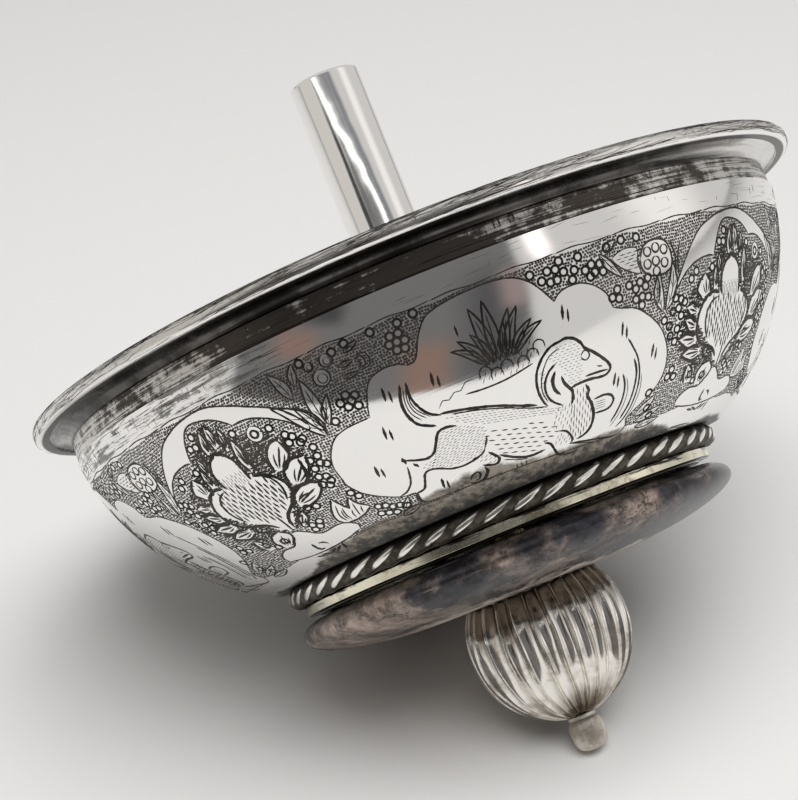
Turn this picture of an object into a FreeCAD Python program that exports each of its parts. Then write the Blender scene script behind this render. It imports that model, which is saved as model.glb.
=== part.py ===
import FreeCAD, Part
import math
import os

# Engraved silver bowl section with a central stem and a screwed melon finial.
# Millimetres. Z runs along the turning axis, up the stem, with the origin at the
# centre of the stem's open mouth. Heights below are measured from the plane that
# the foot ring ends on, and are moved into that frame by point().

# Bowl
stem_top_height = 61.6
bowl_lip_radius = 45.2
bowl_lip_height = 27.1
bowl_floor_radius = 29.0
bowl_wall_curve = 31.1
bowl_sheet = 1.2

# Neck collar and rim
collar_height = 2.7
collar_setback = 0.2
collar_sleeve_depth = 2.4
collar_sleeve_wall = 0.8
flange_height = 2.6
flange_setback = 0.2
flange_edge_height = 1.3
rim_overhang = 3.8
rim_wire_width = 1.7
rim_wire_height = 1.8

# Twisted wire moulding and foot
rope_thickness = 2.6
rope_inset = 2.6
foot_flange_height = 1.45
foot_setback = 0.3
foot_wall = 1.6

# Stem
stem_radius = 4.45
stem_wall = 0.75
stem_collar_radius = 7.4
stem_collar_height = 2.2
stem_collar_round = 0.8
plug_length = 8.0
plug_shoulder = 0.25

# Tie rod, with its reach past the melon's widest plane
rod_radius = 2.0
rod_reach = 4.74

# Disc
disc_radius = 27.7
disc_gap = 0.35
disc_thickness = 6.0
disc_edge_drop = 1.9
disc_top_round = 3.2
disc_flat_radius = 9.0

# Melon, its cap and nut
melon_radius = 10.0
melon_half_height = 10.5
melon_seat_radius = 8.3
melon_sheet = 0.9
cap_thickness = 1.2
nut_radius = 3.6
nut_length = 8.0

# Tip button
tip_radius = 2.25
tip_neck_radius = 1.75
tip_length = 4.4
tip_stud_radius = 1.2
tip_stud_length = 2.6

# Clearances
solder_gap = 0.02
running_gap = 0.06
seat_gap = 0.05

# Heights and radii that follow from the sizes above
rope_radius = rope_thickness / 2
rope_ring_radius = bowl_floor_radius - rope_inset
rope_height = foot_flange_height + rope_radius + solder_gap
floor_height = rope_height + rope_radius + solder_gap
floor_top_height = floor_height + bowl_sheet
foot_flange_radius = rope_ring_radius - foot_setback
foot_neck_radius = rope_ring_radius - rope_radius - solder_gap
foot_inner_radius = foot_neck_radius - foot_wall
collar_base_height = bowl_lip_height + solder_gap
collar_top_height = collar_base_height + collar_height
collar_radius = bowl_lip_radius - collar_setback
flange_base_height = collar_top_height + solder_gap
flange_top_height = flange_base_height + flange_height
rim_radius = bowl_lip_radius + rim_overhang
rim_wire_inner_radius = rim_radius - rim_wire_width
flange_radius = rim_wire_inner_radius - solder_gap
plug_top_height = floor_top_height + solder_gap + plug_length
disc_top_height = -disc_gap
disc_base_height = disc_top_height - disc_thickness
melon_top_height = disc_base_height - seat_gap
melon_seat_drop = melon_half_height * math.sqrt(1 - (melon_seat_radius / melon_radius) ** 2)
melon_centre_height = melon_top_height - melon_seat_drop
melon_base_drop = melon_half_height * math.sqrt(1 - (tip_neck_radius / melon_radius) ** 2)
melon_base_height = melon_centre_height - melon_base_drop
quarter_turn = math.pi / 2


def point(radius, height):
    return FreeCAD.Vector(radius, 0, height - stem_top_height)


def height_of(place):
    return place.z


def line(start, end):
    return Part.LineSegment(start, end).toShape()


def arc(start, middle, end):
    return Part.Arc(start, middle, end).toShape()


def oval(centre_radius, centre_height, reach, rise, start, end):
    # Stretch of an ellipse, between two angles that are measured up from its outermost point
    centre = point(centre_radius, centre_height)
    across = point(centre_radius + reach, centre_height)
    above = point(centre_radius, centre_height + rise)
    if reach >= rise:
        return Part.ArcOfEllipse(Part.Ellipse(across, above, centre), start, end).toShape()
    return Part.ArcOfEllipse(Part.Ellipse(above, across, centre), quarter_turn - end, quarter_turn - start).toShape()


def turned(edges):
    outline = Part.Face(Part.Wire(Part.__sortEdges__(edges)))
    return outline.revolve(FreeCAD.Vector(0, 0, 0), FreeCAD.Vector(0, 0, 1), 360)


def turned_outline(corners):
    corners = [point(radius, height) for radius, height in corners]
    return turned([line(a, b) for a, b in zip(corners, corners[1:] + corners[:1])])


# Centre of the arc that the bowl's wall is raised to, from floor edge to lip
wall_rise = bowl_lip_height - floor_height
wall_spread = bowl_lip_radius - bowl_floor_radius
wall_chord = math.hypot(wall_spread, wall_rise)
wall_reach = math.sqrt(bowl_wall_curve ** 2 - (wall_chord / 2) ** 2)
wall_centre_radius = (bowl_lip_radius + bowl_floor_radius) / 2 - wall_reach * wall_rise / wall_chord
wall_centre_height = (bowl_lip_height + floor_height) / 2 + wall_reach * wall_spread / wall_chord


def wall_radius(height, inset):
    # Radius of the bowl's wall at a height, on a skin this far in from the outside
    return wall_centre_radius + math.sqrt((bowl_wall_curve - inset) ** 2 - (height - wall_centre_height) ** 2)


def wall_arc(low, high, inset):
    middle = (low + high) / 2
    return arc(*(point(wall_radius(height, inset), height) for height in (low, middle, high)))


# Bowl raised from sheet, with a flat floor and a hole for the rod
rod_hole_radius = rod_radius + running_gap
bowl_shell = turned([
    line(point(rod_hole_radius, floor_height), point(wall_radius(floor_height, 0), floor_height)),
    wall_arc(floor_height, bowl_lip_height, 0),
    line(point(bowl_lip_radius, bowl_lip_height), point(wall_radius(bowl_lip_height, bowl_sheet), bowl_lip_height)),
    wall_arc(floor_top_height, bowl_lip_height, bowl_sheet),
    line(point(wall_radius(floor_top_height, bowl_sheet), floor_top_height), point(rod_hole_radius, floor_top_height)),
    line(point(rod_hole_radius, floor_top_height), point(rod_hole_radius, floor_height)),
])

# Neck collar: a band standing on the bowl's lip, with a sleeve down inside it
sleeve_base_height = bowl_lip_height - collar_sleeve_depth
sleeve_radius = wall_radius(sleeve_base_height, bowl_sheet) - solder_gap
sleeve_inner_radius = sleeve_radius - collar_sleeve_wall
neck_collar = turned_outline([
    (sleeve_radius, sleeve_base_height),
    (sleeve_radius, collar_base_height),
    (collar_radius, collar_base_height),
    (collar_radius, collar_top_height),
    (sleeve_inner_radius, collar_top_height),
    (sleeve_inner_radius, sleeve_base_height),
])

# Rim flange: seated on the collar, coved underneath and flat on top
flange_foot_radius = collar_radius - flange_setback
flange_edge_base_height = flange_top_height - flange_edge_height
cove_spread = flange_radius - flange_foot_radius
cove_rise = flange_edge_base_height - flange_base_height
rim_flange = turned([
    line(point(sleeve_inner_radius, flange_base_height), point(flange_foot_radius, flange_base_height)),
    oval(flange_radius, flange_base_height, cove_spread, cove_rise, quarter_turn, 2 * quarter_turn),
    line(point(flange_radius, flange_edge_base_height), point(flange_radius, flange_top_height)),
    line(point(flange_radius, flange_top_height), point(sleeve_inner_radius, flange_top_height)),
    line(point(sleeve_inner_radius, flange_top_height), point(sleeve_inner_radius, flange_base_height)),
])

# Half-round wire soldered round the flange's edge
rim_wire_centre_height = flange_top_height - flange_edge_height / 2
rim_wire_half_height = rim_wire_height / 2
rim_edge_wire = turned([
    line(
        point(rim_wire_inner_radius, rim_wire_centre_height + rim_wire_half_height),
        point(rim_wire_inner_radius, rim_wire_centre_height - rim_wire_half_height),
    ),
    oval(
        rim_wire_inner_radius, rim_wire_centre_height,
        rim_wire_width, rim_wire_half_height,
        -quarter_turn, quarter_turn,
    ),
])

# Twisted wire moulding, as the plain ring that the twist fills
rope_moulding = Part.makeTorus(rope_ring_radius, rope_radius, point(0, rope_height), FreeCAD.Vector(0, 0, 1))

# Foot ring: a neck under the floor inside the moulding, and a flat band below it
foot_ring = turned_outline([
    (foot_inner_radius, 0),
    (foot_flange_radius, 0),
    (foot_flange_radius, foot_flange_height),
    (foot_neck_radius, foot_flange_height),
    (foot_neck_radius, floor_height - solder_gap),
    (foot_inner_radius, floor_height - solder_gap),
])

# Stem tube standing on the bowl's floor, open at the top, with a shoulder over its plug
stem_base_height = floor_top_height + solder_gap
stem_bore_radius = stem_radius - stem_wall
plug_seat_radius = stem_bore_radius + plug_shoulder
stem_tube = turned_outline([
    (plug_seat_radius, stem_base_height),
    (stem_radius, stem_base_height),
    (stem_radius, stem_top_height),
    (stem_bore_radius, stem_top_height),
    (stem_bore_radius, plug_top_height),
    (plug_seat_radius, plug_top_height),
])

# Collar that holds the stem's foot square to the floor
stem_collar_inner_radius = stem_radius + solder_gap
stem_collar_top_height = stem_base_height + stem_collar_height
collar_round = min(stem_collar_round, stem_collar_height / 2, (stem_collar_radius - stem_collar_inner_radius) / 2)
stem_foot_collar = turned_outline([
    (stem_collar_inner_radius, stem_base_height),
    (stem_collar_radius, stem_base_height),
    (stem_collar_radius, stem_collar_top_height - collar_round),
    (stem_collar_radius - collar_round, stem_collar_top_height),
    (stem_collar_inner_radius, stem_collar_top_height),
])

# Plug in the stem's lower end, bored for the rod
rod_seat_radius = rod_radius + solder_gap
stem_plug = turned_outline([
    (rod_seat_radius, stem_base_height),
    (plug_seat_radius - solder_gap, stem_base_height),
    (plug_seat_radius - solder_gap, plug_top_height - solder_gap),
    (rod_seat_radius, plug_top_height - solder_gap),
])

# Tie rod from the plug down through the bowl, the disc and the nut
rod_base_height = melon_centre_height - rod_reach
tie_rod = turned_outline([
    (0, rod_base_height),
    (rod_radius, rod_base_height),
    (rod_radius, plug_top_height),
    (0, plug_top_height),
])

# Disc below the foot: flat on top, rounded at the edge and gently domed below
disc_edge_height = disc_top_height - disc_edge_drop
disc_shoulder_radius = disc_radius - disc_top_round
disc_belly_reach = disc_radius - disc_flat_radius
disc_belly_drop = disc_edge_height - disc_base_height
finial_disc = turned([
    line(point(rod_hole_radius, disc_top_height), point(disc_shoulder_radius, disc_top_height)),
    oval(disc_shoulder_radius, disc_edge_height, disc_top_round, disc_edge_drop, 0, quarter_turn),
    oval(disc_flat_radius, disc_edge_height, disc_belly_reach, disc_belly_drop, -quarter_turn, 0),
    line(point(disc_flat_radius, disc_base_height), point(rod_hole_radius, disc_base_height)),
    line(point(rod_hole_radius, disc_base_height), point(rod_hole_radius, disc_top_height)),
])


def melon_skin(inset, top_radius, base_radius):
    # Meridian of the melon, this far in from its outside, between two radii
    radius = melon_radius - inset
    top = math.acos(top_radius / radius)
    base = -math.acos(base_radius / radius)
    return oval(0, melon_centre_height, radius, melon_half_height - inset, base, top)


# Melon: a hollow shell, cut flat where it meets the disc
cap_radius = melon_seat_radius - melon_sheet
stud_hole_radius = tip_stud_radius + solder_gap
outer_skin = melon_skin(0, melon_seat_radius, tip_neck_radius)
inner_skin = melon_skin(melon_sheet, cap_radius, stud_hole_radius)
outer_ends = [vertex.Point for vertex in outer_skin.Vertexes]
inner_ends = [vertex.Point for vertex in inner_skin.Vertexes]
melon_shell = turned([
    outer_skin,
    line(max(outer_ends, key=height_of), max(inner_ends, key=height_of)),
    inner_skin,
    line(min(outer_ends, key=height_of), min(inner_ends, key=height_of)),
])

# Cap closing the melon's mouth, just inside the shell
cap_top_height = melon_top_height - solder_gap
cap_base_height = cap_top_height - cap_thickness
melon_cap = turned_outline([
    (rod_hole_radius, cap_base_height),
    (cap_radius - solder_gap, cap_base_height),
    (cap_radius - solder_gap, cap_top_height),
    (rod_hole_radius, cap_top_height),
])

# Nut under the cap, running on the rod
nut_top_height = cap_base_height - solder_gap
nut_base_height = nut_top_height - nut_length
finial_nut = turned_outline([
    (rod_hole_radius, nut_base_height),
    (nut_radius, nut_base_height),
    (nut_radius, nut_top_height),
    (rod_hole_radius, nut_top_height),
])

# Tip button: a short barrel with a rounded end, on a stud into the melon
tip_top_height = melon_base_height - solder_gap
tip_base_height = tip_top_height - tip_length
tip_shoulder_height = tip_top_height - (tip_radius - tip_neck_radius)
tip_round_height = tip_base_height + tip_radius
tip_button = turned([
    line(point(0, tip_top_height + tip_stud_length), point(tip_stud_radius, tip_top_height + tip_stud_length)),
    line(point(tip_stud_radius, tip_top_height + tip_stud_length), point(tip_stud_radius, tip_top_height)),
    line(point(tip_stud_radius, tip_top_height), point(tip_neck_radius, tip_top_height)),
    line(point(tip_neck_radius, tip_top_height), point(tip_radius, tip_shoulder_height)),
    line(point(tip_radius, tip_shoulder_height), point(tip_radius, tip_round_height)),
    arc(
        point(tip_radius, tip_round_height),
        point(tip_radius * math.sqrt(0.5), tip_round_height - tip_radius * math.sqrt(0.5)),
        point(0, tip_base_height),
    ),
    line(point(0, tip_base_height), point(0, tip_top_height + tip_stud_length)),
])

pieces = {
    "bowl_shell": bowl_shell,
    "neck_collar": neck_collar,
    "rim_flange": rim_flange,
    "rim_edge_wire": rim_edge_wire,
    "rope_moulding": rope_moulding,
    "foot_ring": foot_ring,
    "stem_tube": stem_tube,
    "stem_foot_collar": stem_foot_collar,
    "stem_plug": stem_plug,
    "tie_rod": tie_rod,
    "finial_disc": finial_disc,
    "melon_shell": melon_shell,
    "melon_cap": melon_cap,
    "finial_nut": finial_nut,
    "tip_button": tip_button,
}

os.makedirs("parts", exist_ok=True)
for name, shape in pieces.items():
    if not shape.isValid() or len(shape.Solids) != 1:
        raise ValueError(name + " is not one sound solid")
    shape.exportStep("parts/" + name + ".step")
    print(name, round(shape.Volume, 1), "mm3")
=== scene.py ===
import math
import random

import bpy
import bmesh
import numpy as np
from mathutils import Matrix, Vector


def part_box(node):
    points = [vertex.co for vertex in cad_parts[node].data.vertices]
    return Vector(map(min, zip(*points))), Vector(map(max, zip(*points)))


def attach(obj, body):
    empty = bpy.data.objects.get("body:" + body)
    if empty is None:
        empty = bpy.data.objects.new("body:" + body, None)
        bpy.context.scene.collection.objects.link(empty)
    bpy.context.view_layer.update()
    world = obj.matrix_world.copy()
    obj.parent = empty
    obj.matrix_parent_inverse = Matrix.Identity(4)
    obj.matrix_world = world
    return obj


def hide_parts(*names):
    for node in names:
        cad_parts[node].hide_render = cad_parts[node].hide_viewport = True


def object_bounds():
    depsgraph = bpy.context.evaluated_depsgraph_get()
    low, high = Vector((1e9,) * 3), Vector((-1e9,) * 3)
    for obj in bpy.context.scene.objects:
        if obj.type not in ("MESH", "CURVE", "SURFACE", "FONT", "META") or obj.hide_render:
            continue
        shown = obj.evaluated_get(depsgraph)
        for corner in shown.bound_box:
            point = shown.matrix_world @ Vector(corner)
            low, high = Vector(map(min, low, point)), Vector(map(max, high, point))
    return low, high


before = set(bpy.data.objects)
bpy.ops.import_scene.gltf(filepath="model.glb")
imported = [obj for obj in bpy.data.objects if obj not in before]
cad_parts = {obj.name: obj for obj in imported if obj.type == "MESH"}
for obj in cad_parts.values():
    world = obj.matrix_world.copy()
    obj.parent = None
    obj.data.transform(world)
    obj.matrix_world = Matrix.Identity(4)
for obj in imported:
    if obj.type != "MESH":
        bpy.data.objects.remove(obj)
cad_low, cad_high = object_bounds()

# Bowl: one sheet of silver raised to a rounded wall with a flat floor, then polished.
# The collar round its mouth, the stem and the twisted moulding are soldered to it later.
mm = 0.001
full_turn = 2 * math.pi
bowl_low, bowl_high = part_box("bowl_shell")
lip_radius = bowl_high.x
lip_z = bowl_high.z
floor_z = bowl_low.z
floor_radius = 29.0 * mm
wall_curve = 31.1 * mm
sheet = 1.2 * mm
rod_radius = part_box("tie_rod")[1].x
rod_hole = rod_radius + 0.06 * mm
silver = (0.90, 0.888, 0.868)

wall_chord = Vector((lip_radius - floor_radius, lip_z - floor_z))
wall_reach = math.sqrt(wall_curve ** 2 - wall_chord.length_squared / 4)
wall_centre_r = (lip_radius + floor_radius) / 2 - wall_reach * wall_chord.y / wall_chord.length
wall_centre_z = (lip_z + floor_z) / 2 + wall_reach * wall_chord.x / wall_chord.length
lip_angle = math.asin((lip_z - wall_centre_z) / wall_curve)
wall_length = wall_curve * (lip_angle - math.asin((floor_z - wall_centre_z) / wall_curve))


def wall_at(down):
    # Radius and height on the wall, this far down from the lip along the outside
    angle = lip_angle - down / wall_curve
    return wall_centre_r + wall_curve * np.cos(angle), wall_centre_z + wall_curve * np.sin(angle)


def inner_wall_radius(z):
    return wall_centre_r + math.sqrt((wall_curve - sheet) ** 2 - (z - wall_centre_z) ** 2)


def oval(centre_r, centre_z, reach, rise, start, end, count, square=1.0):
    # Points on a stretch of an ellipse, between two angles in degrees up from its outermost point.
    # A square below one gives it a flatter side and tighter corners.
    angles = np.radians(np.linspace(start, end, count))
    across = np.sign(np.cos(angles)) * np.abs(np.cos(angles)) ** square
    upward = np.sign(np.sin(angles)) * np.abs(np.sin(angles)) ** square
    return [(centre_r + reach * x, centre_z + rise * y) for x, y in zip(across, upward)]


def rounded(corners, radius, count=4):
    # The outline with its corners eased, so that the edges catch the light, and a point
    # a little before and after each corner, so that the faces beside it shade as flat
    eased = []
    for k, corner in enumerate(corners):
        here = Vector(corner)
        before = Vector(corners[k - 1]) - here
        after = Vector(corners[(k + 1) % len(corners)]) - here
        if here.x < 1e-6:
            eased.append(corner)
            continue
        ease = min(radius, before.length / 2.5, after.length / 2.5)
        start = here + before.normalized() * ease
        end = here + after.normalized() * ease
        eased.append(tuple(here + before.normalized() * ease * 1.2))
        for t in np.linspace(0, 1, count):
            eased.append(tuple(start * (1 - t) ** 2 + here * 2 * t * (1 - t) + end * t ** 2))
        eased.append(tuple(here + after.normalized() * ease * 1.2))
    return eased


def set_down(name, shape):
    # Puts a mesh, a curve, a camera or a lamp into the scene
    made = bpy.data.objects.new(name, shape)
    bpy.context.scene.collection.objects.link(made)
    return made


def finish_mesh(name, mesh, material, sharp=40):
    # Closes the poles, turns the faces outwards and puts the mesh into the scene
    work = bmesh.new()
    work.from_mesh(mesh)
    bmesh.ops.remove_doubles(work, verts=work.verts, dist=1e-7)
    bmesh.ops.dissolve_degenerate(work, edges=work.edges, dist=1e-9)
    bmesh.ops.recalc_face_normals(work, faces=work.faces)
    work.to_mesh(mesh)
    work.free()
    mesh.shade_smooth()
    mesh.set_sharp_from_angle(angle=math.radians(sharp))
    mesh.materials.clear()
    mesh.materials.append(material)
    return set_down(name, mesh)


def turned(name, outline, material, steps=256, sharp=40, swell=None, turns=None):
    # Turns a closed outline of radius and height about the axis, with a UV map in metres:
    # round the piece from its back, and along the outline
    angles = np.linspace(-math.pi, math.pi, steps, endpoint=False) if turns is None else turns
    steps = len(angles)
    rows = len(outline)
    radii = np.array([p[0] for p in outline])
    heights = np.array([p[1] for p in outline])
    reach = radii[:, None] * np.ones(steps)
    level = heights[:, None] * np.ones(steps)
    if swell is not None:
        out, up = swell(radii[:, None], heights[:, None], angles[None, :])
        reach = reach + out
        level = level + up
    places = np.stack([reach * np.sin(angles), -reach * np.cos(angles), level], -1)
    strides = np.hypot(np.diff(radii, append=radii[0]), np.diff(heights, append=heights[0]))
    run = np.concatenate([[0], np.cumsum(strides)])
    around = np.append(angles, angles[0] + full_turn) * radii.max()
    faces = []
    uv_places = []
    for i in range(rows):
        below = (i + 1) % rows
        for j in range(steps):
            beside = (j + 1) % steps
            faces.append((i * steps + j, i * steps + beside, below * steps + beside, below * steps + j))
            uv_places += [(around[j], run[i]), (around[j + 1], run[i]), (around[j + 1], run[i + 1]),
                          (around[j], run[i + 1])]
    mesh = bpy.data.meshes.new(name)
    mesh.from_pydata(places.reshape(-1, 3).tolist(), [], faces)
    mesh.uv_layers.new(name="turning").data.foreach_set("uv", np.array(uv_places, np.float32).ravel())
    return finish_mesh(name, mesh, material, sharp)


def add(tree, kind, inputs=(), **settings):
    # A node with its settings, and its inputs given as values or as sockets to join to
    made = tree.nodes.new(kind)
    for setting, value in settings.items():
        setattr(made, setting, value)
    for socket, value in dict(inputs).items():
        if isinstance(value, bpy.types.NodeSocket):
            tree.links.new(value, made.inputs[socket])
        else:
            made.inputs[socket].default_value = value
    return made


def group(name, kind, inputs, outputs):
    # An empty node group with named sockets, and its two end nodes
    made = bpy.data.node_groups.new(name, kind)
    for socket, sort in inputs.items():
        made.interface.new_socket(socket, in_out="INPUT", socket_type="NodeSocket" + sort)
    for socket, sort in outputs.items():
        made.interface.new_socket(socket, in_out="OUTPUT", socket_type="NodeSocket" + sort)
    return made, made.nodes.new("NodeGroupInput"), made.nodes.new("NodeGroupOutput")


def noise(tree, places, scale, detail=2.0, roughness=0.5, distortion=0.0):
    # Cloudy values about one half, smaller clouds for a larger scale
    return add(tree, "ShaderNodeTexNoise", {
        "Vector": places, "Scale": scale, "Detail": detail, "Roughness": roughness,
        "Distortion": distortion,
    }).outputs["Fac"]


def reckon(tree, operation, *values):
    # One sum, on numbers or sockets
    return add(tree, "ShaderNodeMath", enumerate(values), operation=operation).outputs[0]


def ramp(tree, value, low, high, start=0.0, end=1.0, smooth=False):
    # Start up to low, end from high on, and an even or smooth rise or fall between
    return add(tree, "ShaderNodeMapRange", {
        "Value": value, "From Min": low, "From Max": high, "To Min": start, "To Max": end,
    }, interpolation_type="SMOOTHSTEP" if smooth else "LINEAR").outputs["Result"]


def mixed(tree, share, first, second):
    # A number between two numbers
    return add(tree, "ShaderNodeMix", {"Factor": share, 2: first, 3: second}).outputs[0]


def tinted(tree, share, under, over):
    # A colour between two colours, each three numbers or a socket
    under, over = (colour if isinstance(colour, bpy.types.NodeSocket) else (*colour,
                                                                            1) for colour in (under, over))
    return add(tree, "ShaderNodeMix", {"Factor": share, 6: under, 7: over}, data_type="RGBA").outputs[2]


def bumped(tree, height, depth, under=None):
    # A surface raised by a height times a depth, over another bump if there is one
    made = add(tree, "ShaderNodeBump", {"Height": height, "Distance": depth, "Strength": 1.0})
    if under is not None:
        tree.links.new(under, made.inputs["Normal"])
    return made.outputs[0]


# Tarnish gathers in cloudy patches: a broad cloud broken up by a finer one
tarnish_bloom, bloom_in, bloom_out = group(
    "tarnish bloom", "ShaderNodeTree", {"Vector": "Vector", "Scale": "Float", "Cover": "Float"},
    {"Mask": "Float"}
)
broad_cloud = noise(tarnish_bloom, bloom_in.outputs["Vector"], scale=bloom_in.outputs["Scale"], detail=5.0,
                    roughness=0.62)
fine_scale = reckon(tarnish_bloom, "MULTIPLY", bloom_in.outputs["Scale"], 5.3)
fine_cloud = noise(tarnish_bloom, bloom_in.outputs["Vector"], scale=fine_scale, detail=4.0, roughness=0.7)
both_clouds = reckon(tarnish_bloom, "MULTIPLY_ADD", fine_cloud, 0.35, broad_cloud)
covering = reckon(tarnish_bloom, "ADD", both_clouds, bloom_in.outputs["Cover"])
patches = ramp(tarnish_bloom, covering, 1.05, 1.32, smooth=True)
tarnish_bloom.links.new(patches, bloom_out.inputs["Mask"])

# Polishing leaves fine streaks round the piece
polish_marks, marks_in, marks_out = group(
    "polish marks", "ShaderNodeTree", {"Vector": "Vector", "Along": "Float", "Across": "Float"},
    {"Streak": "Float"}
)
stretch = add(polish_marks, "ShaderNodeCombineXYZ", {
    "X": marks_in.outputs["Along"], "Y": marks_in.outputs["Across"], "Z": 1.0,
})
drawn_out = add(polish_marks, "ShaderNodeVectorMath", {
    0: marks_in.outputs["Vector"], 1: stretch.outputs[0],
}, operation="MULTIPLY")
drawn_streak = noise(polish_marks, drawn_out.outputs[0], scale=1.0, detail=3.0, roughness=0.6,
                     distortion=0.4)
polish_marks.links.new(drawn_streak, marks_out.inputs["Streak"])


def tarnish(tree, places, scale, cover):
    # Where a material is tarnished, from nought to one
    return add(tree, "ShaderNodeGroup", {
        "Vector": places, "Scale": scale, "Cover": cover,
    }, node_tree=tarnish_bloom).outputs["Mask"]


def streaks(tree, places, along, across):
    # Streaks drawn out along the first of two directions, about one half
    return add(tree, "ShaderNodeGroup", {
        "Vector": places, "Along": along, "Across": across,
    }, node_tree=polish_marks).outputs["Streak"]


def metal(name, colour, roughness):
    # A bare metal, with its node tree and shader for a section to build on
    made = bpy.data.materials.new(name)
    made.use_nodes = True
    shader = made.node_tree.nodes["Principled BSDF"]
    shader.inputs["Base Color"].default_value = (*colour, 1)
    shader.inputs["Metallic"].default_value = 1.0
    shader.inputs["Roughness"].default_value = roughness
    return made, made.node_tree, shader


def so_far(shader, socket):
    # What a socket of the shader is joined to so far
    return shader.inputs[socket].links[0].from_socket


def worn_metal(name, colour, stain, scale, cover, smooth, dull, along, across, dent, streak_depth,
               dent_scale=95.0):
    # Metal with tarnish clouds, polishing streaks and faint hammer dents
    made, tree, shader = metal(name, colour, roughness=smooth)
    places = add(tree, "ShaderNodeTexCoord").outputs
    stained = tarnish(tree, places["Object"], scale=scale, cover=cover)
    streak = streaks(tree, places["UV"], along=along, across=across)
    tree.links.new(tinted(tree, stained, colour, stain), shader.inputs["Base Color"])
    gloss = ramp(tree, streak, 0.3, 0.7, start=smooth * 0.7, end=smooth * 1.4)
    tree.links.new(mixed(tree, stained, gloss, dull), shader.inputs["Roughness"])
    hollows = bumped(tree, noise(tree, places["Object"], scale=dent_scale, detail=1.0), dent)
    tree.links.new(bumped(tree, streak, streak_depth, hollows), shader.inputs["Normal"])
    return made, tree, shader


bowl_metal, bowl_tree, bowl_shader = worn_metal(
    "engraved silver", silver, stain=(0.60, 0.57, 0.53), scale=60.0, cover=0.14, smooth=0.085, dull=0.16,
    along=70.0, across=5200.0, dent=0.05 * mm, streak_depth=0.0016 * mm,
)
# Brown dirt above the twisted moulding, which reaches higher at the front, with painted shade that darkens
# it on the way down to the moulding
bowl_places = add(bowl_tree, "ShaderNodeTexCoord").outputs
bowl_down = add(bowl_tree, "ShaderNodeSeparateXYZ", {0: bowl_places["UV"]}).outputs["Y"]
ragged = noise(bowl_tree, bowl_places["Object"], scale=260.0, detail=8.0, roughness=0.7)
grime = noise(bowl_tree, bowl_places["Object"], scale=1100.0, detail=5.0, roughness=0.7)
dirt_clouds = noise(bowl_tree, bowl_places["Object"], scale=75.0, detail=6.0, roughness=0.6)
bowl_spot = add(bowl_tree, "ShaderNodeSeparateXYZ", {0: bowl_places["Object"]})
dirt_slope = -0.3
dirt_least = 5.5 * mm
dirt_raggedness = 7.0 * mm
dirt_line = 37.6 * mm
dirt_blend = 0.7 * mm
dirt_last = 33.0 * mm
dirt_lean = reckon(bowl_tree, "MULTIPLY", bowl_spot.outputs["Y"], dirt_slope)
dirt_side = reckon(bowl_tree, "MAXIMUM", dirt_lean, dirt_least)
dirt_reach = reckon(bowl_tree, "ADD", dirt_side, bowl_down)
dirt_edge = reckon(bowl_tree, "MULTIPLY_ADD", dirt_clouds, dirt_raggedness, dirt_reach)
dirt_start = ramp(bowl_tree, dirt_edge, dirt_line, dirt_line + dirt_blend, end=0.94, smooth=True)
dirt_end = reckon(bowl_tree, "LESS_THAN", bowl_down, dirt_last)
dirt = reckon(bowl_tree, "MULTIPLY", dirt_start, dirt_end)
# Painted shade: the dirt gets darker down towards the moulding, in the moulding's shade
painted_rope_shade = ramp(bowl_tree, bowl_down, 26.0 * mm, 29.6 * mm, start=0.05, end=-0.19)
dirt_and_shade_tone = reckon(bowl_tree, "ADD", grime, painted_rope_shade)
dirt_and_shade_level = ramp(bowl_tree, dirt_and_shade_tone, 0.38, 0.59)
dirt_and_shade_tint = tinted(bowl_tree, dirt_and_shade_level, (0.018, 0.015, 0.012), (0.325, 0.278, 0.222))
clean_tint = so_far(bowl_shader, "Base Color")
dirty_and_shaded_tint = tinted(bowl_tree, dirt, clean_tint, dirt_and_shade_tint)
clean_gloss = so_far(bowl_shader, "Roughness")
dirty_gloss = mixed(bowl_tree, dirt, clean_gloss, 0.42)
bare_share = ramp(bowl_tree, dirt, 0.0, 1.0, start=1.0, end=0.45)
bowl_tree.links.new(bare_share, bowl_shader.inputs["Metallic"])
# Dark wear on one side of the plain band at the mouth
band_marks = streaks(bowl_tree, bowl_places["UV"], along=90.0, across=1500.0)
band_wear = reckon(bowl_tree, "MULTIPLY_ADD", ragged, 0.9, band_marks)
band_worn = ramp(bowl_tree, band_wear, 0.95, 1.04, end=0.88)
band_part = ramp(bowl_tree, bowl_down, 2.4 * mm, 2.8 * mm, start=1.0, end=0.0)
band_side = ramp(bowl_tree, bowl_spot.outputs["X"], -14.0 * mm, -24.0 * mm)
band_here = reckon(bowl_tree, "MULTIPLY", band_part, band_side)
band_mask = reckon(bowl_tree, "MULTIPLY", band_here, band_worn)
band_tint = tinted(bowl_tree, band_mask, dirty_and_shaded_tint, (0.13, 0.12, 0.11))
# The inside, cloudy and never polished
inside_start = wall_length + floor_radius - rod_hole + sheet / 2
inside = reckon(bowl_tree, "GREATER_THAN", bowl_down, inside_start)
inside_clouds = ramp(bowl_tree, dirt_clouds, 0.36, 0.62, start=0.3, end=0.9)
inside_mask = reckon(bowl_tree, "MULTIPLY", inside, inside_clouds)
inside_tint = tinted(bowl_tree, inside_mask, band_tint, (0.42, 0.385, 0.335))
bowl_tree.links.new(inside_tint, bowl_shader.inputs["Base Color"])
inside_gloss = mixed(bowl_tree, inside, dirty_gloss, 0.3)
bowl_tree.links.new(inside_gloss, bowl_shader.inputs["Roughness"])
crust = reckon(bowl_tree, "MULTIPLY", dirt, grime)
crust_bump = bumped(bowl_tree, crust, 0.11 * mm, so_far(bowl_shader, "Normal"))
bowl_tree.links.new(crust_bump, bowl_shader.inputs["Normal"])
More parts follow.
